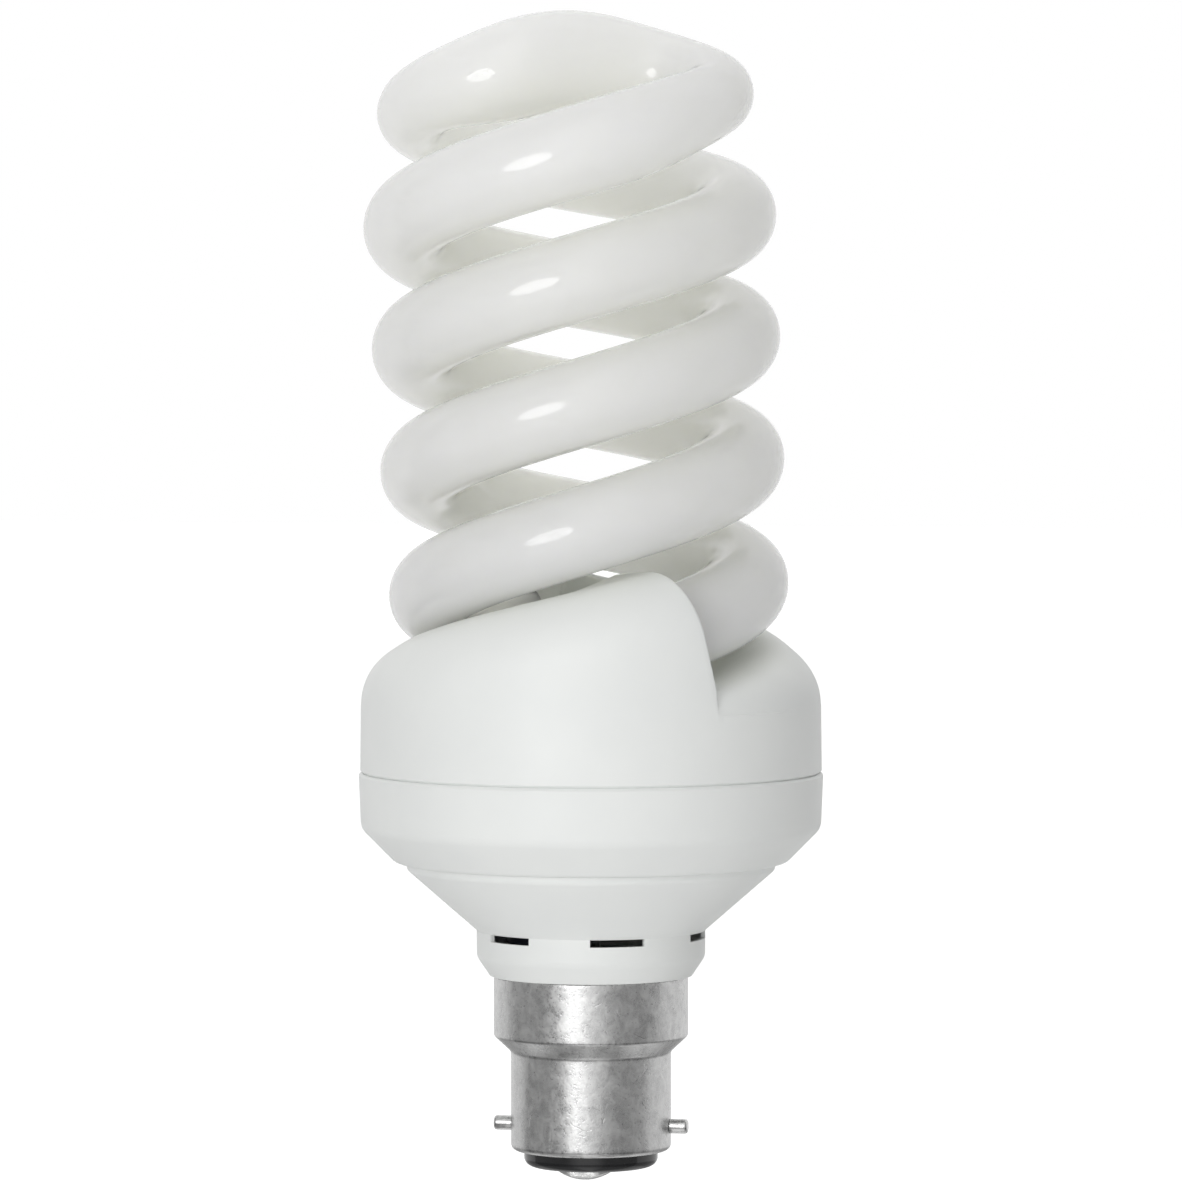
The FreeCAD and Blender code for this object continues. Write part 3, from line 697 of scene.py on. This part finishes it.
# where that tube passes the plane of a mouth, in the mouth's own axes (out, along, up)
def holeCentre(flip, inset):
    turnBack = Matrix.Rotation(-math.radians(cover["mouthAngle"] + (180 if flip else 0)), 3, "Z")
    setBack = inset / math.cos(mouthTilt())
    near, far = (cover["mouthAngle"] + side for side in cover["mouthSearch"])
    for _ in range(40):
        middle = (near + far) / 2
        at = turnBack @ tubeCentre(middle, flip)
        if at.y < -setBack - float(mouthSlant(at.z)):
            near = middle
        else:
            far = middle
    return at


def spunZ(points, angle):
    a = math.radians(angle)
    c, s = math.cos(a), math.sin(a)
    return points @ np.array([[c, s, 0], [-s, c, 0], [0, 0, 1]])


# flat end of a lobe, from its rim and the next lobe's start in to the hole for the tube
def mouthFace(boundary, flip, inset):
    angle = cover["mouthAngle"] + (180 if flip else 0)
    local = spunZ(boundary, -angle)
    centre = np.array(holeCentre(flip, inset))
    up = np.array([0, -math.sin(mouthTilt()), math.cos(mouthTilt())])
    towards = np.arctan2((local - centre) @ up, local[:, 0] - centre[0])
    radius = lamp["tubeRadius"] + cover["mouthGap"]
    out = np.array([1.0, 0, 0])
    hole = centre + radius * (np.outer(np.cos(towards), out) + np.outer(np.sin(towards), up))
    steps = np.linspace(0, 1, coverGrid["face"] + 1)
    return [spunZ(local * (1 - s) + hole * s, angle) for s in steps]


def gridFaces(rows, columns, base, wrap=False):
    faces = []
    for i in range(rows - 1):
        for j in range(columns if wrap else columns - 1):
            k = (j + 1) % columns
            faces.append((base + i * columns + j, base + i * columns + k,
                          base + (i + 1) * columns + k, base + (i + 1) * columns + j))
    return faces


def upperCover():
    starts, rows = coverLayout()
    points = []
    faces = []
    rims = []
    holes = []
    for inset in (0.0, cover["wall"]):
        lobes = [lobeSkin(inset), spunZ(lobeSkin(inset), 180)]
        rims.append(np.concatenate([lobe[0] for lobe in lobes]))
        for i, lobe in enumerate(lobes):
            faces += gridFaces(rows, lobe.shape[1], len(points))
            points += list(lobe.reshape(-1, 3))
            following = lobes[1 - i]
            upper = lobe[starts["crest"]:starts["foot"], -1]
            lower = following[starts["crest"] + 1:starts["inner"] - 1, 0]
            rings = mouthFace(np.concatenate([upper, lower[::-1]]), i == 0, inset)
            faces += gridFaces(len(rings), len(rings[0]), len(points), wrap=True)
            points += list(np.concatenate(rings))
            holes.append(rings[-1])
    # edges between the outer and the inner skin: the seam, and the two holes
    for outer, inner in ((rims[0], rims[1]), (holes[0], holes[2]), (holes[1], holes[3])):
        faces += gridFaces(2, len(outer), len(points), wrap=True)
        points += list(np.concatenate([outer, inner]))
    turned = spunZ(np.array(points), lamp["coilPhase"]) * mm
    bore = cover["radius"] - cover["wall"]
    tongueBore = cover["tongueOuter"] - cover["tongueWall"]
    rootZ = lamp["seamZ"] + cover["tongueRoot"]
    tongue = [
        (tongueBore, cover["tongueFoot"], cover["tongueRound"]),
        (cover["tongueOuter"], cover["tongueFoot"], cover["tongueRound"]),
        (cover["tongueOuter"], lamp["seamZ"]),
        (bore, lamp["seamZ"]),
        (bore, rootZ),
        (tongueBore, rootZ),
    ]
    shape = joined((list(turned), faces), lathe(roundedOutline(tongue, segments=3), coverGrid["tongue"]))
    obj = newObject("upperCover", *shape)
    cleanMesh(obj)
    settle(obj, whitePlastic, "upper_cover")


upperCover()


# Lower case: turned outline with a wall, slots round the neck and ribs under the board
case = dict(
    radius=31.85,
    wall=1.5,
    chamfer=0.35,
    bandDraft=0.3,
    bandZ=41.0,
    bandRound=2.2,
    taperRadius=27.0,
    taperZ=36.4,
    taperRound=1.6,
    coneTopRadius=25.3,
    coneTopZ=35.3,
    coneRound=1.2,
    stepDip=0.23,
    neckRadius=15.7,
    coneZ=26.9,
    neckFootZ=23.3,
    neckFootRadius=13.95,
    neckRound=2.0,
    neckZ=20.7,
    spigotRadius=12.9,
    spigotWall=1.2,
    spigotZ=13.7,
    ventCount=6,
    ventAngle=28.0,
    ventHeight=1.0,
    ventWall=0.6,          # the wall is thin there
    ventPhase=-6.5,
    ventWeld=0.01,
    ribCount=6,
    ribThickness=1.6,
    ribBore=27.15,
    ribTop=43.2,
    outlineStep=2.4,
    columns=180,
)


# a line of points moved in by a wall, with mitred corners
def insetLine(points, wall):
    moved = []
    for i, at in enumerate(points):
        sides = [points[k + 1] - points[k] for k in (i - 1, i) if 0 <= k < len(points) - 1]
        normals = [Vector((side.y, -side.x)).normalized() for side in sides]
        total = (normals[0] + normals[-1]).normalized()
        moved.append(at + total * (wall / total.dot(normals[0])))
    return moved


def ventRule(inputs):
    tree, size = nodeGroup("ventRule", inputs)
    place = addNode(tree, "GeometryNodeInputPosition").outputs[0]
    parts = addNode(tree, "ShaderNodeSeparateXYZ", {0: place})
    x, y, z = (Field(tree, parts.outputs[i]) for i in range(3))
    spacing = size("Count").op("POWER", -1) * (2 * math.pi)
    angle = y.op("ARCTAN2", x) - size("Phase")
    around = angle.op("WRAP", spacing * 0.5, spacing * -0.5)
    inSlot = (around.op("ABSOLUTE") < size("Angle") * 0.5) * (z > size("Low")) * (z < size("High"))
    slotted = addNode(tree, "GeometryNodeDeleteGeometry", {
        "Geometry": size("Geometry"), "Selection": inSlot}, domain="FACE")
    # the edges left round each slot are drawn in to the inner wall
    count = Field(tree, addNode(tree, "GeometryNodeInputMeshEdgeNeighbors").outputs[0])
    distance = (x * x + y * y).op("SQRT")
    free = (count < 1.5) * (distance > size("Neck Radius") - size("Wall") * 0.5)
    inward = addNode(tree, "ShaderNodeCombineXYZ", {0: x / distance * -1, 1: y / distance * -1})
    sides = addNode(tree, "GeometryNodeExtrudeMesh", {
        "Mesh": slotted.outputs[0], "Selection": free, "Offset": inward.outputs[0],
        "Offset Scale": size("Wall")}, mode="EDGES")
    welded = addNode(tree, "GeometryNodeMergeByDistance", {
        "Geometry": sides.outputs[0], "Distance": size("Weld")})
    return endGroup(tree, welded.outputs[0], size("Plastic"))


# wedges that stand on the slope of the inner wall and carry the board
def addRibs(obj, wallFoot, slopeFoot):
    slope = (wallFoot.x - slopeFoot.x) / (wallFoot.y - slopeFoot.y)
    ribLow = wallFoot.y - (wallFoot.x - case["ribBore"]) / slope
    wedge = [(case["ribBore"], case["ribTop"]), (wallFoot.x, case["ribTop"]), tuple(wallFoot),
             (case["ribBore"], ribLow)]
    work = bmesh.new()
    work.from_mesh(obj.data)
    for i in range(case["ribCount"]):
        spin = Matrix.Rotation(math.radians(360 * (i + 0.5) / case["ribCount"]), 3, "Z")
        ends = []
        for side in (-0.5, 0.5):
            corners = [spin @ Vector((r, side * case["ribThickness"], z)) * mm for r, z in wedge]
            ends.append([work.verts.new(corner) for corner in corners])
        work.faces.new(ends[0])
        work.faces.new(ends[1][::-1])
        for k in range(len(wedge)):
            n = (k + 1) % len(wedge)
            work.faces.new((ends[0][k], ends[1][k], ends[1][n], ends[0][n]))
    work.to_mesh(obj.data)
    work.free()


def lowerCase():
    ventLow = case["coneZ"] - case["ventHeight"]
    ventBore = case["neckRadius"] - case["ventWall"]
    neckBore = case["neckRadius"] - case["wall"]
    spigotBore = case["spigotRadius"] - case["spigotWall"]
    bandFoot = (case["radius"] - case["bandDraft"], case["bandZ"])
    taperFoot = (case["taperRadius"], case["taperZ"])
    outer = [
        (case["radius"] - case["chamfer"], lamp["seamZ"]),
        (case["radius"], lamp["seamZ"] - case["chamfer"]),
        (*bandFoot, case["bandRound"]),
        (*taperFoot, case["taperRound"]),
        (case["coneTopRadius"], case["taperZ"] - case["stepDip"]),
        (case["coneTopRadius"], case["coneTopZ"], case["coneRound"]),
        (case["neckRadius"], case["coneZ"]),
        (case["neckRadius"], ventLow),
        (case["neckRadius"], case["neckFootZ"], case["neckRound"]),
        (case["neckFootRadius"], case["neckZ"]),
    ]
    foot = [
        (case["spigotRadius"], case["neckZ"]),
        (case["spigotRadius"], case["spigotZ"]),
        (spigotBore, case["spigotZ"]),
        (spigotBore, case["neckZ"] + case["wall"]),
        (neckBore, case["neckFootZ"]),
        (neckBore, ventLow - case["ventWall"]),
        (ventBore, ventLow),
        (ventBore, case["coneZ"]),
    ]
    walls = [(case["radius"], lamp["seamZ"]), bandFoot, taperFoot, (case["neckRadius"], case["coneZ"]),
             (case["neckRadius"], case["neckFootZ"])]
    inner = insetLine([Vector(p) for p in walls], case["wall"])
    inside = [tuple(p) for p in inner[3:0:-1]] + [(case["radius"] - case["wall"], lamp["seamZ"])]
    outline = dividedOutline(roundedOutline(outer + foot + inside), case["outlineStep"])
    phase = case["ventPhase"] - case["ventAngle"] / 2        # a column at each slot's end
    obj = newObject("lowerCase", *lathe(outline, case["columns"], phase))
    cleanMesh(obj)
    inputs = {
        "Count": case["ventCount"],
        "Angle": math.radians(case["ventAngle"]),
        "Phase": math.radians(case["ventPhase"]),
        "Low": ventLow * mm,
        "High": case["coneZ"] * mm,
        "Neck Radius": case["neckRadius"] * mm,
        "Wall": case["ventWall"] * mm,
        "Weld": case["ventWeld"] * mm,
        "Plastic": whitePlastic,
    }
    runTree(obj, ventRule(inputs), inputs)
    addRibs(obj, inner[1], inner[2])
    cleanMesh(obj)
    settle(obj, whitePlastic, "lower_case")


lowerCase()


# Bayonet cap: drawn shell, pins, black glass and solder pads
cap = dict(
    shellRadius=11.0,
    shellWall=0.4,
    rimZ=-3.4,
    rimCurl=1.4,
    rimInside=1.0,
    shoulderZ=10.2,
    shoulderRound=0.9,
    shoulderInside=2.0,
    skirtZ=12.4,
    skirtRound=0.6,
    skirtRadius=13.35,
    skirtTop=20.7,
    lipRound=0.3,
    lipInside=0.05,
    lipHeight=0.6,         # how far down the uneven top edge reaches
    lipWave=0.07,
    lipWaves=((7, 0.6, 1.0), (17, 2.1, 0.6), (29, 4.0, 0.5)),          # count, phase and share
    noseHole=9.25,
    outlineStep=0.36,
    columns=192,
    holeRadius=0.82,
    holeDepth=4.0,
    holeSides=40,
    pinRadius=1.0,
    pinReach=13.5,
    pinRound=0.4,
    pinFootRound=0.08,
    rivetRadius=0.8,
    pinHeadRadius=1.5,
    pinHead=0.6,
    pinHeadRound=0.2,
    pinHeadGap=0.02,
    pinColumns=48,
    stakes=((-9.5, 0.85), (-10.0, -0.75), (9.5, 0.8), (10.0, -0.8)),   # degrees from a pin, and height
    stakeDepth=0.16,       # of these punch marks
    stakeRadius=0.55,
)


def boreRule(inputs):
    tree, size = nodeGroup("boreRule", inputs)
    drill = addNode(tree, "GeometryNodeMeshCylinder", {
        "Vertices": size("Sides"), "Radius": size("Hole Radius"), "Depth": size("Depth")})
    tilt = addNode(tree, "ShaderNodeCombineXYZ", {1: size("Tilt")})
    drill = addNode(tree, "GeometryNodeTransform", {
        "Geometry": drill.outputs[0], "Rotation": tilt.outputs[0]})
    index = Field(tree, addNode(tree, "GeometryNodeInputIndex").outputs[0])
    angle = index / size("Count") * (2 * math.pi) + size("Phase")
    place = addNode(tree, "ShaderNodeCombineXYZ", {
        0: angle.op("COSINE") * size("Ring Radius"), 1: angle.op("SINE") * size("Ring Radius"),
        2: size("Height")})
    points = addNode(tree, "GeometryNodePoints", {"Count": size("Count"), "Position": place.outputs[0]})
    spin = addNode(tree, "ShaderNodeCombineXYZ", {2: angle})
    drills = addNode(tree, "GeometryNodeInstanceOnPoints", {
        "Points": points.outputs[0], "Instance": drill.outputs[0], "Rotation": spin.outputs[0]})
    real = addNode(tree, "GeometryNodeRealizeInstances", {0: drills.outputs[0]})
    bored = addNode(tree, "GeometryNodeMeshBoolean", {
        "Mesh 1": size("Geometry"), "Mesh 2": real.outputs[0]}, operation="DIFFERENCE", solver="EXACT")
    return endGroup(tree, bored.outputs[0], size("Finish"))


# two holes across from each other on a ring
def boreHoles(obj, finish, radius, depth, ring, height, tilt, phase, sides):
    inputs = {
        "Count": 2,
        "Hole Radius": radius * mm,
        "Depth": depth * mm,
        "Ring Radius": ring * mm,
        "Height": height * mm,
        "Tilt": tilt,
        "Phase": phase,
        "Sides": sides,
        "Finish": finish,
    }
    runTree(obj, boreRule(inputs), inputs)
    smoothFaces(obj)


# a drawn edge is never quite level
def waveLip(at):
    above = at.z - cap["skirtTop"] + cap["lipHeight"]
    if above > 0:
        a = math.atan2(at.y, at.x)
        wave = sum(share * math.sin(count * a + phase) for count, phase, share in cap["lipWaves"])
        at.z -= cap["lipWave"] * (1 + 0.5 * wave) * above / cap["lipHeight"]


def pressStakes(at, marks):
    for mark in marks:
        near = (at - mark).length / cap["stakeRadius"]
        if near < 1:
            out = Vector((at.x, at.y, 0)).normalized()
            at -= out * cap["stakeDepth"] * (1 - near * near) ** 2


def capShell():
    bore = cap["shellRadius"] - cap["shellWall"]
    skirtBore = cap["skirtRadius"] - cap["shellWall"]
    rimTop = cap["rimZ"] + cap["shellWall"]
    outline = roundedOutline([
        (cap["noseHole"], cap["rimZ"]),
        (cap["shellRadius"], cap["rimZ"], cap["rimCurl"]),
        (cap["shellRadius"], cap["shoulderZ"], cap["shoulderRound"]),
        (cap["skirtRadius"], cap["skirtZ"], cap["skirtRound"]),
        (cap["skirtRadius"], cap["skirtTop"], cap["lipRound"]),
        (skirtBore, cap["skirtTop"], cap["lipInside"]),
        (skirtBore, cap["skirtZ"], cap["skirtRound"]),
        (bore, cap["shoulderZ"], cap["shoulderInside"]),
        (bore, rimTop, cap["rimInside"]),
        (cap["noseHole"], rimTop),
    ])
    points, faces = lathe(dividedOutline(outline, cap["outlineStep"]), cap["columns"])
    marks = []
    for half in (math.pi, 0):
        for turn, z in cap["stakes"]:
            a = math.radians(turn) + half
            marks.append(Vector((cap["shellRadius"] * math.cos(a), cap["shellRadius"] * math.sin(a), z)))
    made = []
    for point in points:
        at = point / mm
        waveLip(at)
        pressStakes(at, marks)
        made.append(at * mm)
    obj = newObject("capShell", made, faces)
    cleanMesh(obj)
    boreHoles(obj, drawnMetal, radius=cap["holeRadius"], depth=cap["holeDepth"], ring=cap["shellRadius"],
              height=0.0, tilt=math.pi / 2, phase=0.0, sides=cap["holeSides"])
    settle(obj, drawnMetal, "cap_shell")


def bayonetPins():
    bore = cap["shellRadius"] - cap["shellWall"]
    headX = math.sqrt(bore ** 2 - cap["pinHeadRadius"] ** 2) - cap["pinHeadGap"]
    outline = roundedOutline([
        (0, headX - cap["pinHead"]),
        (cap["pinHeadRadius"], headX - cap["pinHead"], cap["pinHeadRound"]),
        (cap["pinHeadRadius"], headX),
        (cap["rivetRadius"], headX),
        (cap["rivetRadius"], cap["shellRadius"]),
        (cap["pinRadius"], cap["shellRadius"], cap["pinFootRound"]),
        (cap["pinRadius"], cap["pinReach"], cap["pinRound"]),
        (0, cap["pinReach"]),
    ], segments=6)
    points, faces = lathe(outline, cap["pinColumns"])
    lay = Matrix.Rotation(math.pi / 2, 3, "Y")
    right = [lay @ p for p in points]
    left = [Vector((-p.x, -p.y, p.z)) for p in right]
    obj = newObject("bayonetPins", *joined((right, faces), (left, faces)))
    cleanMesh(obj)
    settle(obj, pinMetal, "bayonet_pins")


insulator = dict(
    noseRadius=9.2,
    noseZ=-5.6,
    noseRound=1.2,
    flangeZ=-3.0,
    flangeRadius=10.55,
    flange=1.0,
    bossRadius=8.5,
    bossHeight=4.4,
    bossRound=0.8,
    wireHole=0.75,
    wireHoleDepth=30.0,
    wireHoleSides=32,
    columns=128,
    contactSpacing=9.0,
    contactWidth=8.0,
    contactDepth=5.2,
    contactHeight=1.4,
    contactRings=14,       # the last two run down the pad's side
    contactSides=72,
)


def capInsulator():
    spec = insulator
    top = spec["flangeZ"] + spec["bossHeight"]
    flangeTop = spec["flangeZ"] + spec["flange"]
    outline = roundedOutline([
        (0, spec["noseZ"]),
        (spec["noseRadius"], spec["noseZ"], spec["noseRound"]),
        (spec["noseRadius"], spec["flangeZ"]),
        (spec["flangeRadius"] - cap["rimCurl"], spec["flangeZ"]),
        (spec["flangeRadius"], flangeTop),
        (spec["bossRadius"], flangeTop),
        (spec["bossRadius"], top, spec["bossRound"]),
        (0, top),
    ])
    obj = newObject("capInsulator", *lathe(outline, spec["columns"]))
    cleanMesh(obj)
    boreHoles(obj, blackGlass, radius=spec["wireHole"], depth=spec["wireHoleDepth"],
              ring=spec["contactSpacing"] / 2, height=spec["noseZ"], tilt=0.0, phase=math.pi / 2,
              sides=spec["wireHoleSides"])
    settle(obj, blackGlass, "cap_insulator")


# solder pads with rounded ends, domed as one sphere would leave them
def capContacts():
    spec = insulator
    rings, around = spec["contactRings"], spec["contactSides"]
    domeRings = rings - 2
    halfWidth, halfDepth = spec["contactWidth"] / 2, spec["contactDepth"] / 2
    dome = (halfWidth ** 2 + spec["contactHeight"] ** 2) / (2 * spec["contactHeight"])
    straight = halfWidth - halfDepth
    shapes = []
    for side in (-1, 1):
        points = []
        for i in range(rings + 1):
            share = min(1, i / domeRings)
            for j in range(around):
                a = 2 * math.pi * (j + 0.5) / around
                x = (math.copysign(straight, math.cos(a)) + halfDepth * math.cos(a)) * share
                y = halfDepth * math.sin(a) * share
                out = min(math.hypot(x, y), halfWidth)
                height = math.sqrt(dome ** 2 - out ** 2) - dome + spec["contactHeight"]
                height *= min(1, (rings - i) / 2)
                points.append(Vector((x, y + side * spec["contactSpacing"] / 2, spec["noseZ"] - height)) * mm)
        faces = gridFaces(rings + 1, around, 0, wrap=True)
        faces.append(tuple(rings * around + j for j in range(around)))
        shapes.append((points, faces))
    obj = newObject("capContacts", *joined(*shapes))
    cleanMesh(obj)
    settle(obj, solder, "cap_contacts")


capShell()
bayonetPins()
capInsulator()
capContacts()


# What the housing hides keeps its solids: nodes, light and dark tone, roughness, grain and metal
innerFinishes = {
    "whiteCement": (("tube_cement",), (0.78, 0.77, 0.73), (0.66, 0.65, 0.60), 0.85, 1400.0, 0.0),
    "brownBoard": (("circuit_board",), (0.42, 0.27, 0.13), (0.33, 0.20, 0.09), 0.55, 800.0, 0.0),
    "darkSleeve": (("electrolytic_capacitor",), (0.035, 0.04, 0.06), (0.02, 0.022, 0.035), 0.35, 900.0, 0.0),
    "ferrite": (("choke_core", "toroid_core", "filter_inductor"), (0.09, 0.088, 0.086), (0.05, 0.05, 0.05),
                0.62, 2200.0, 0.0),
    "blackPlastic": (("choke_bobbin", "switching_transistors", "rectifier_diodes"), (0.03, 0.03, 0.032),
                     (0.018, 0.018, 0.02), 0.5, 2600.0, 0.0),
    "copperWire": (("choke_winding", "inductor_winding", "toroid_windings"), (0.72, 0.33, 0.16),
                   (0.52, 0.20, 0.08), 0.3, 3600.0, 0.9),
    "redFilm": (("resonance_capacitor", "coupling_capacitor", "filter_capacitor"), (0.48, 0.07, 0.04),
                (0.38, 0.045, 0.03), 0.28, 700.0, 0.0),
    "tanBody": (("resistors", "fuse_resistor"), (0.62, 0.47, 0.29), (0.52, 0.38, 0.22), 0.5, 1500.0, 0.0),
    "blueDisc": (("start_thermistor", "trigger_diac"), (0.06, 0.13, 0.36), (0.04, 0.09, 0.27),
                 0.4, 1200.0, 0.0),
    "tinnedWire": (("wire_posts", "filament_leads"), (0.70, 0.69, 0.66), (0.52, 0.51, 0.49),
                   0.3, 2400.0, 1.0),
    "wireCover": (("mains_leads",), (0.70, 0.70, 0.68), (0.60, 0.60, 0.58), 0.5, 1000.0, 0.0),
}
for name, (nodes, light, dark, roughness, grain, metallic) in innerFinishes.items():
    finish = mottledFinish(name, dict(
        tone=light, light=light, dark=dark, spread=(0.3, 0.7), roughness=roughness,
        shine=(roughness - 0.08, roughness + 0.08), grain=grain, detail=4.0, fine=0.6,
        bump=(0.25, 0.08 * mm)), Metallic=metallic)
    for node in nodes:
        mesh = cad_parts[node].data
        mesh.materials.clear()
        mesh.materials.append(finish)
print("inner pieces dressed")


# Studio: camera as the photo was taken, soft key by the camera, white sweep behind
studio = dict(
    targetZ=73.4,
    distance=914.0,
    azimuth=10.0,
    elevation=2.6,
    lens=203.2,
    sensor=36.0,
    floorZ=-62.0,
    floorHalf=4000.0,
    floorTone=0.86,
    floorGlow=0.45,        # lifts the seen floor to white
    keyAzimuth=-22.0,      # from the camera, to the left
    keyHeight=3.0,
    keyDistance=760.0,
    keyRadius=180.0,
    keyPower=1.30,
    ambient=1.20,
    ambientTilt=0.22,      # a little more light from the left
    ambientSide=1.95,      # less from both sides
    ambientTop=0.16,       # and from above
    ambientBack=1.1,       # more from the sweep behind
    roomTone=0.36,         # the darker room in front, as metal shows it
    sweepTone=0.80,        # the white sweep behind
    sweepGain=0.08,        # brighter straight behind
    sweepRise=(0.35, 1.0),
    sweepMiddle=-13.0,
    sweepHalf=99.0,
    sweepSoft=0.03,        # radians
    lowTone=0.45,          # share left low down, where the table's edge is dark
    lowMiddle=-0.45,       # these as heights of a unit direction
    lowBand=(0.12, 0.26),
    frontTone=1.0,         # the pale wall by the camera
    frontMiddle=-8.0,
    frontInner=8.0,
    frontOuter=38.0,
)


def fromCamera(azimuth, height, distance):
    a = math.radians(studio["azimuth"] + azimuth)
    e = math.radians(studio["elevation"] + height)
    back = Vector((math.sin(a) * math.cos(e), -math.cos(a) * math.cos(e), math.sin(e)))
    return (Vector((0, 0, studio["targetZ"])) + back * distance) * mm


def aimed(obj, place):
    target = Vector((0, 0, studio["targetZ"])) * mm
    obj.location = place
    obj.rotation_mode = "QUATERNION"
    obj.rotation_quaternion = (target - place).to_track_quat("-Z", "Y")
    scene.collection.objects.link(obj)


def addSoftLight(name, azimuth, height, distance, radius, power):
    light = bpy.data.lights.new(name, "AREA")
    light.shape = "DISK"
    light.size = 2 * radius * mm
    light.energy = power
    obj = bpy.data.objects.new(name, light)
    aimed(obj, fromCamera(azimuth, height, distance))
    obj.visible_camera = False


def addCamera():
    camera = bpy.data.cameras.new("camera")
    camera.sensor_width = studio["sensor"]
    camera.lens = studio["lens"]
    camera.clip_start = 0.01
    camera.clip_end = 50.0
    obj = bpy.data.objects.new("camera", camera)
    aimed(obj, fromCamera(0, 0, studio["distance"]))
    scene.camera = obj


# what a shiny surface sees of the room in a direction: sweep behind, darker room, pale wall in front
def roomTones(tree, direction):
    turned = addNode(tree, "ShaderNodeVectorRotate", {
        "Vector": direction, "Angle": -math.radians(studio["azimuth"])}, rotation_type="Z_AXIS")
    unit = addNode(tree, "ShaderNodeVectorMath", {0: turned.outputs[0]}, operation="NORMALIZE")
    parts = addNode(tree, "ShaderNodeSeparateXYZ", {0: unit.outputs[0]})
    x, y, z = (Field(tree, parts.outputs[i]) for i in range(3))
    around = x.op("ARCTAN2", y * -1)
    edge = math.radians(studio["sweepHalf"])
    soft = studio["sweepSoft"]
    fromSweep = (around - math.radians(studio["sweepMiddle"])).op("ABSOLUTE")
    sweep = remap(tree, fromSweep, edge - soft, edge + soft,
                  0, studio["sweepTone"] - studio["roomTone"], True)
    fromFront = (around - math.radians(studio["frontMiddle"])).op("ABSOLUTE")
    front = remap(tree, fromFront, math.radians(studio["frontInner"]), math.radians(studio["frontOuter"]),
                  studio["frontTone"] - studio["roomTone"], 0, True)
    behind = easedStep(y, *studio["sweepRise"]) * studio["sweepGain"]
    tones = Field(tree, sweep) + Field(tree, front) + behind + studio["roomTone"]
    fromLow = (z - studio["lowMiddle"]).op("ABSOLUTE")
    return tones * remap(tree, fromLow, *studio["lowBand"], studio["lowTone"], 1.0, True), (x, y, z)


def addWorld():
    world = bpy.data.worlds.new("studioWorld")
    world.use_nodes = True
    scene.world = world
    tree = world.node_tree
    rays = addNode(tree, "ShaderNodeLightPath")
    direction = addNode(tree, "ShaderNodeTexCoord").outputs["Generated"]
    tones, (x, y, z) = roomTones(tree, direction)
    isCamera = Field(tree, rays.outputs["Is Camera Ray"])
    isGlossy = Field(tree, rays.outputs["Is Glossy Ray"])
    isThrough = Field(tree, rays.outputs["Is Transmission Ray"])
    less = x * x * studio["ambientSide"] + x * studio["ambientTilt"] + z * studio["ambientTop"]
    behind = y.op("MAXIMUM", 0)
    level = behind * behind * studio["ambientBack"] - less + studio["ambient"]
    level = pick(isThrough, 1.0, level.op("MAXIMUM", 0))
    level = pick(isGlossy, tones, level)
    level = pick(isCamera, 1.0, level)
    background = tree.nodes["Background"]
    background.inputs["Color"].default_value = (1, 1, 1, 1)
    tree.links.new(level.socket, background.inputs["Strength"])


def addFloor():
    half = studio["floorHalf"]
    corners = ((-half, -half), (half, -half), (half, half), (-half, half))
    points = [Vector((x, y, studio["floorZ"])) * mm for x, y in corners]
    floor = newObject("studioFloor", points, [(0, 1, 2, 3)])
    material = bpy.data.materials.new("paleFloor")
    material.use_nodes = True
    tree = material.node_tree
    tree.nodes.clear()
    rays = addNode(tree, "ShaderNodeLightPath")
    seen = Field(tree, rays.outputs["Is Camera Ray"]).op("MAXIMUM", rays.outputs["Is Transmission Ray"])
    matte = addNode(tree, "ShaderNodeBsdfDiffuse", {"Color": (*[studio["floorTone"]] * 3, 1)})
    glow = addNode(tree, "ShaderNodeEmission", {"Strength": seen * studio["floorGlow"]})
    both = addNode(tree, "ShaderNodeAddShader", {0: matte.outputs[0], 1: glow.outputs[0]})
    tones, _ = roomTones(tree, addNode(tree, "ShaderNodeTexCoord").outputs["Object"])
    mirrored = addNode(tree, "ShaderNodeEmission", {"Strength": tones})
    shown = addNode(tree, "ShaderNodeMixShader", {
        0: rays.outputs["Is Glossy Ray"], 1: both.outputs[0], 2: mirrored.outputs[0]})
    addNode(tree, "ShaderNodeOutputMaterial", {0: shown.outputs[0]})
    floor.data.materials.append(material)


addCamera()
addSoftLight("keyLight", studio["keyAzimuth"], studio["keyHeight"], studio["keyDistance"],
             studio["keyRadius"], studio["keyPower"])
addWorld()
addFloor()
scene.view_settings.view_transform = "Standard"
print("studio lit")
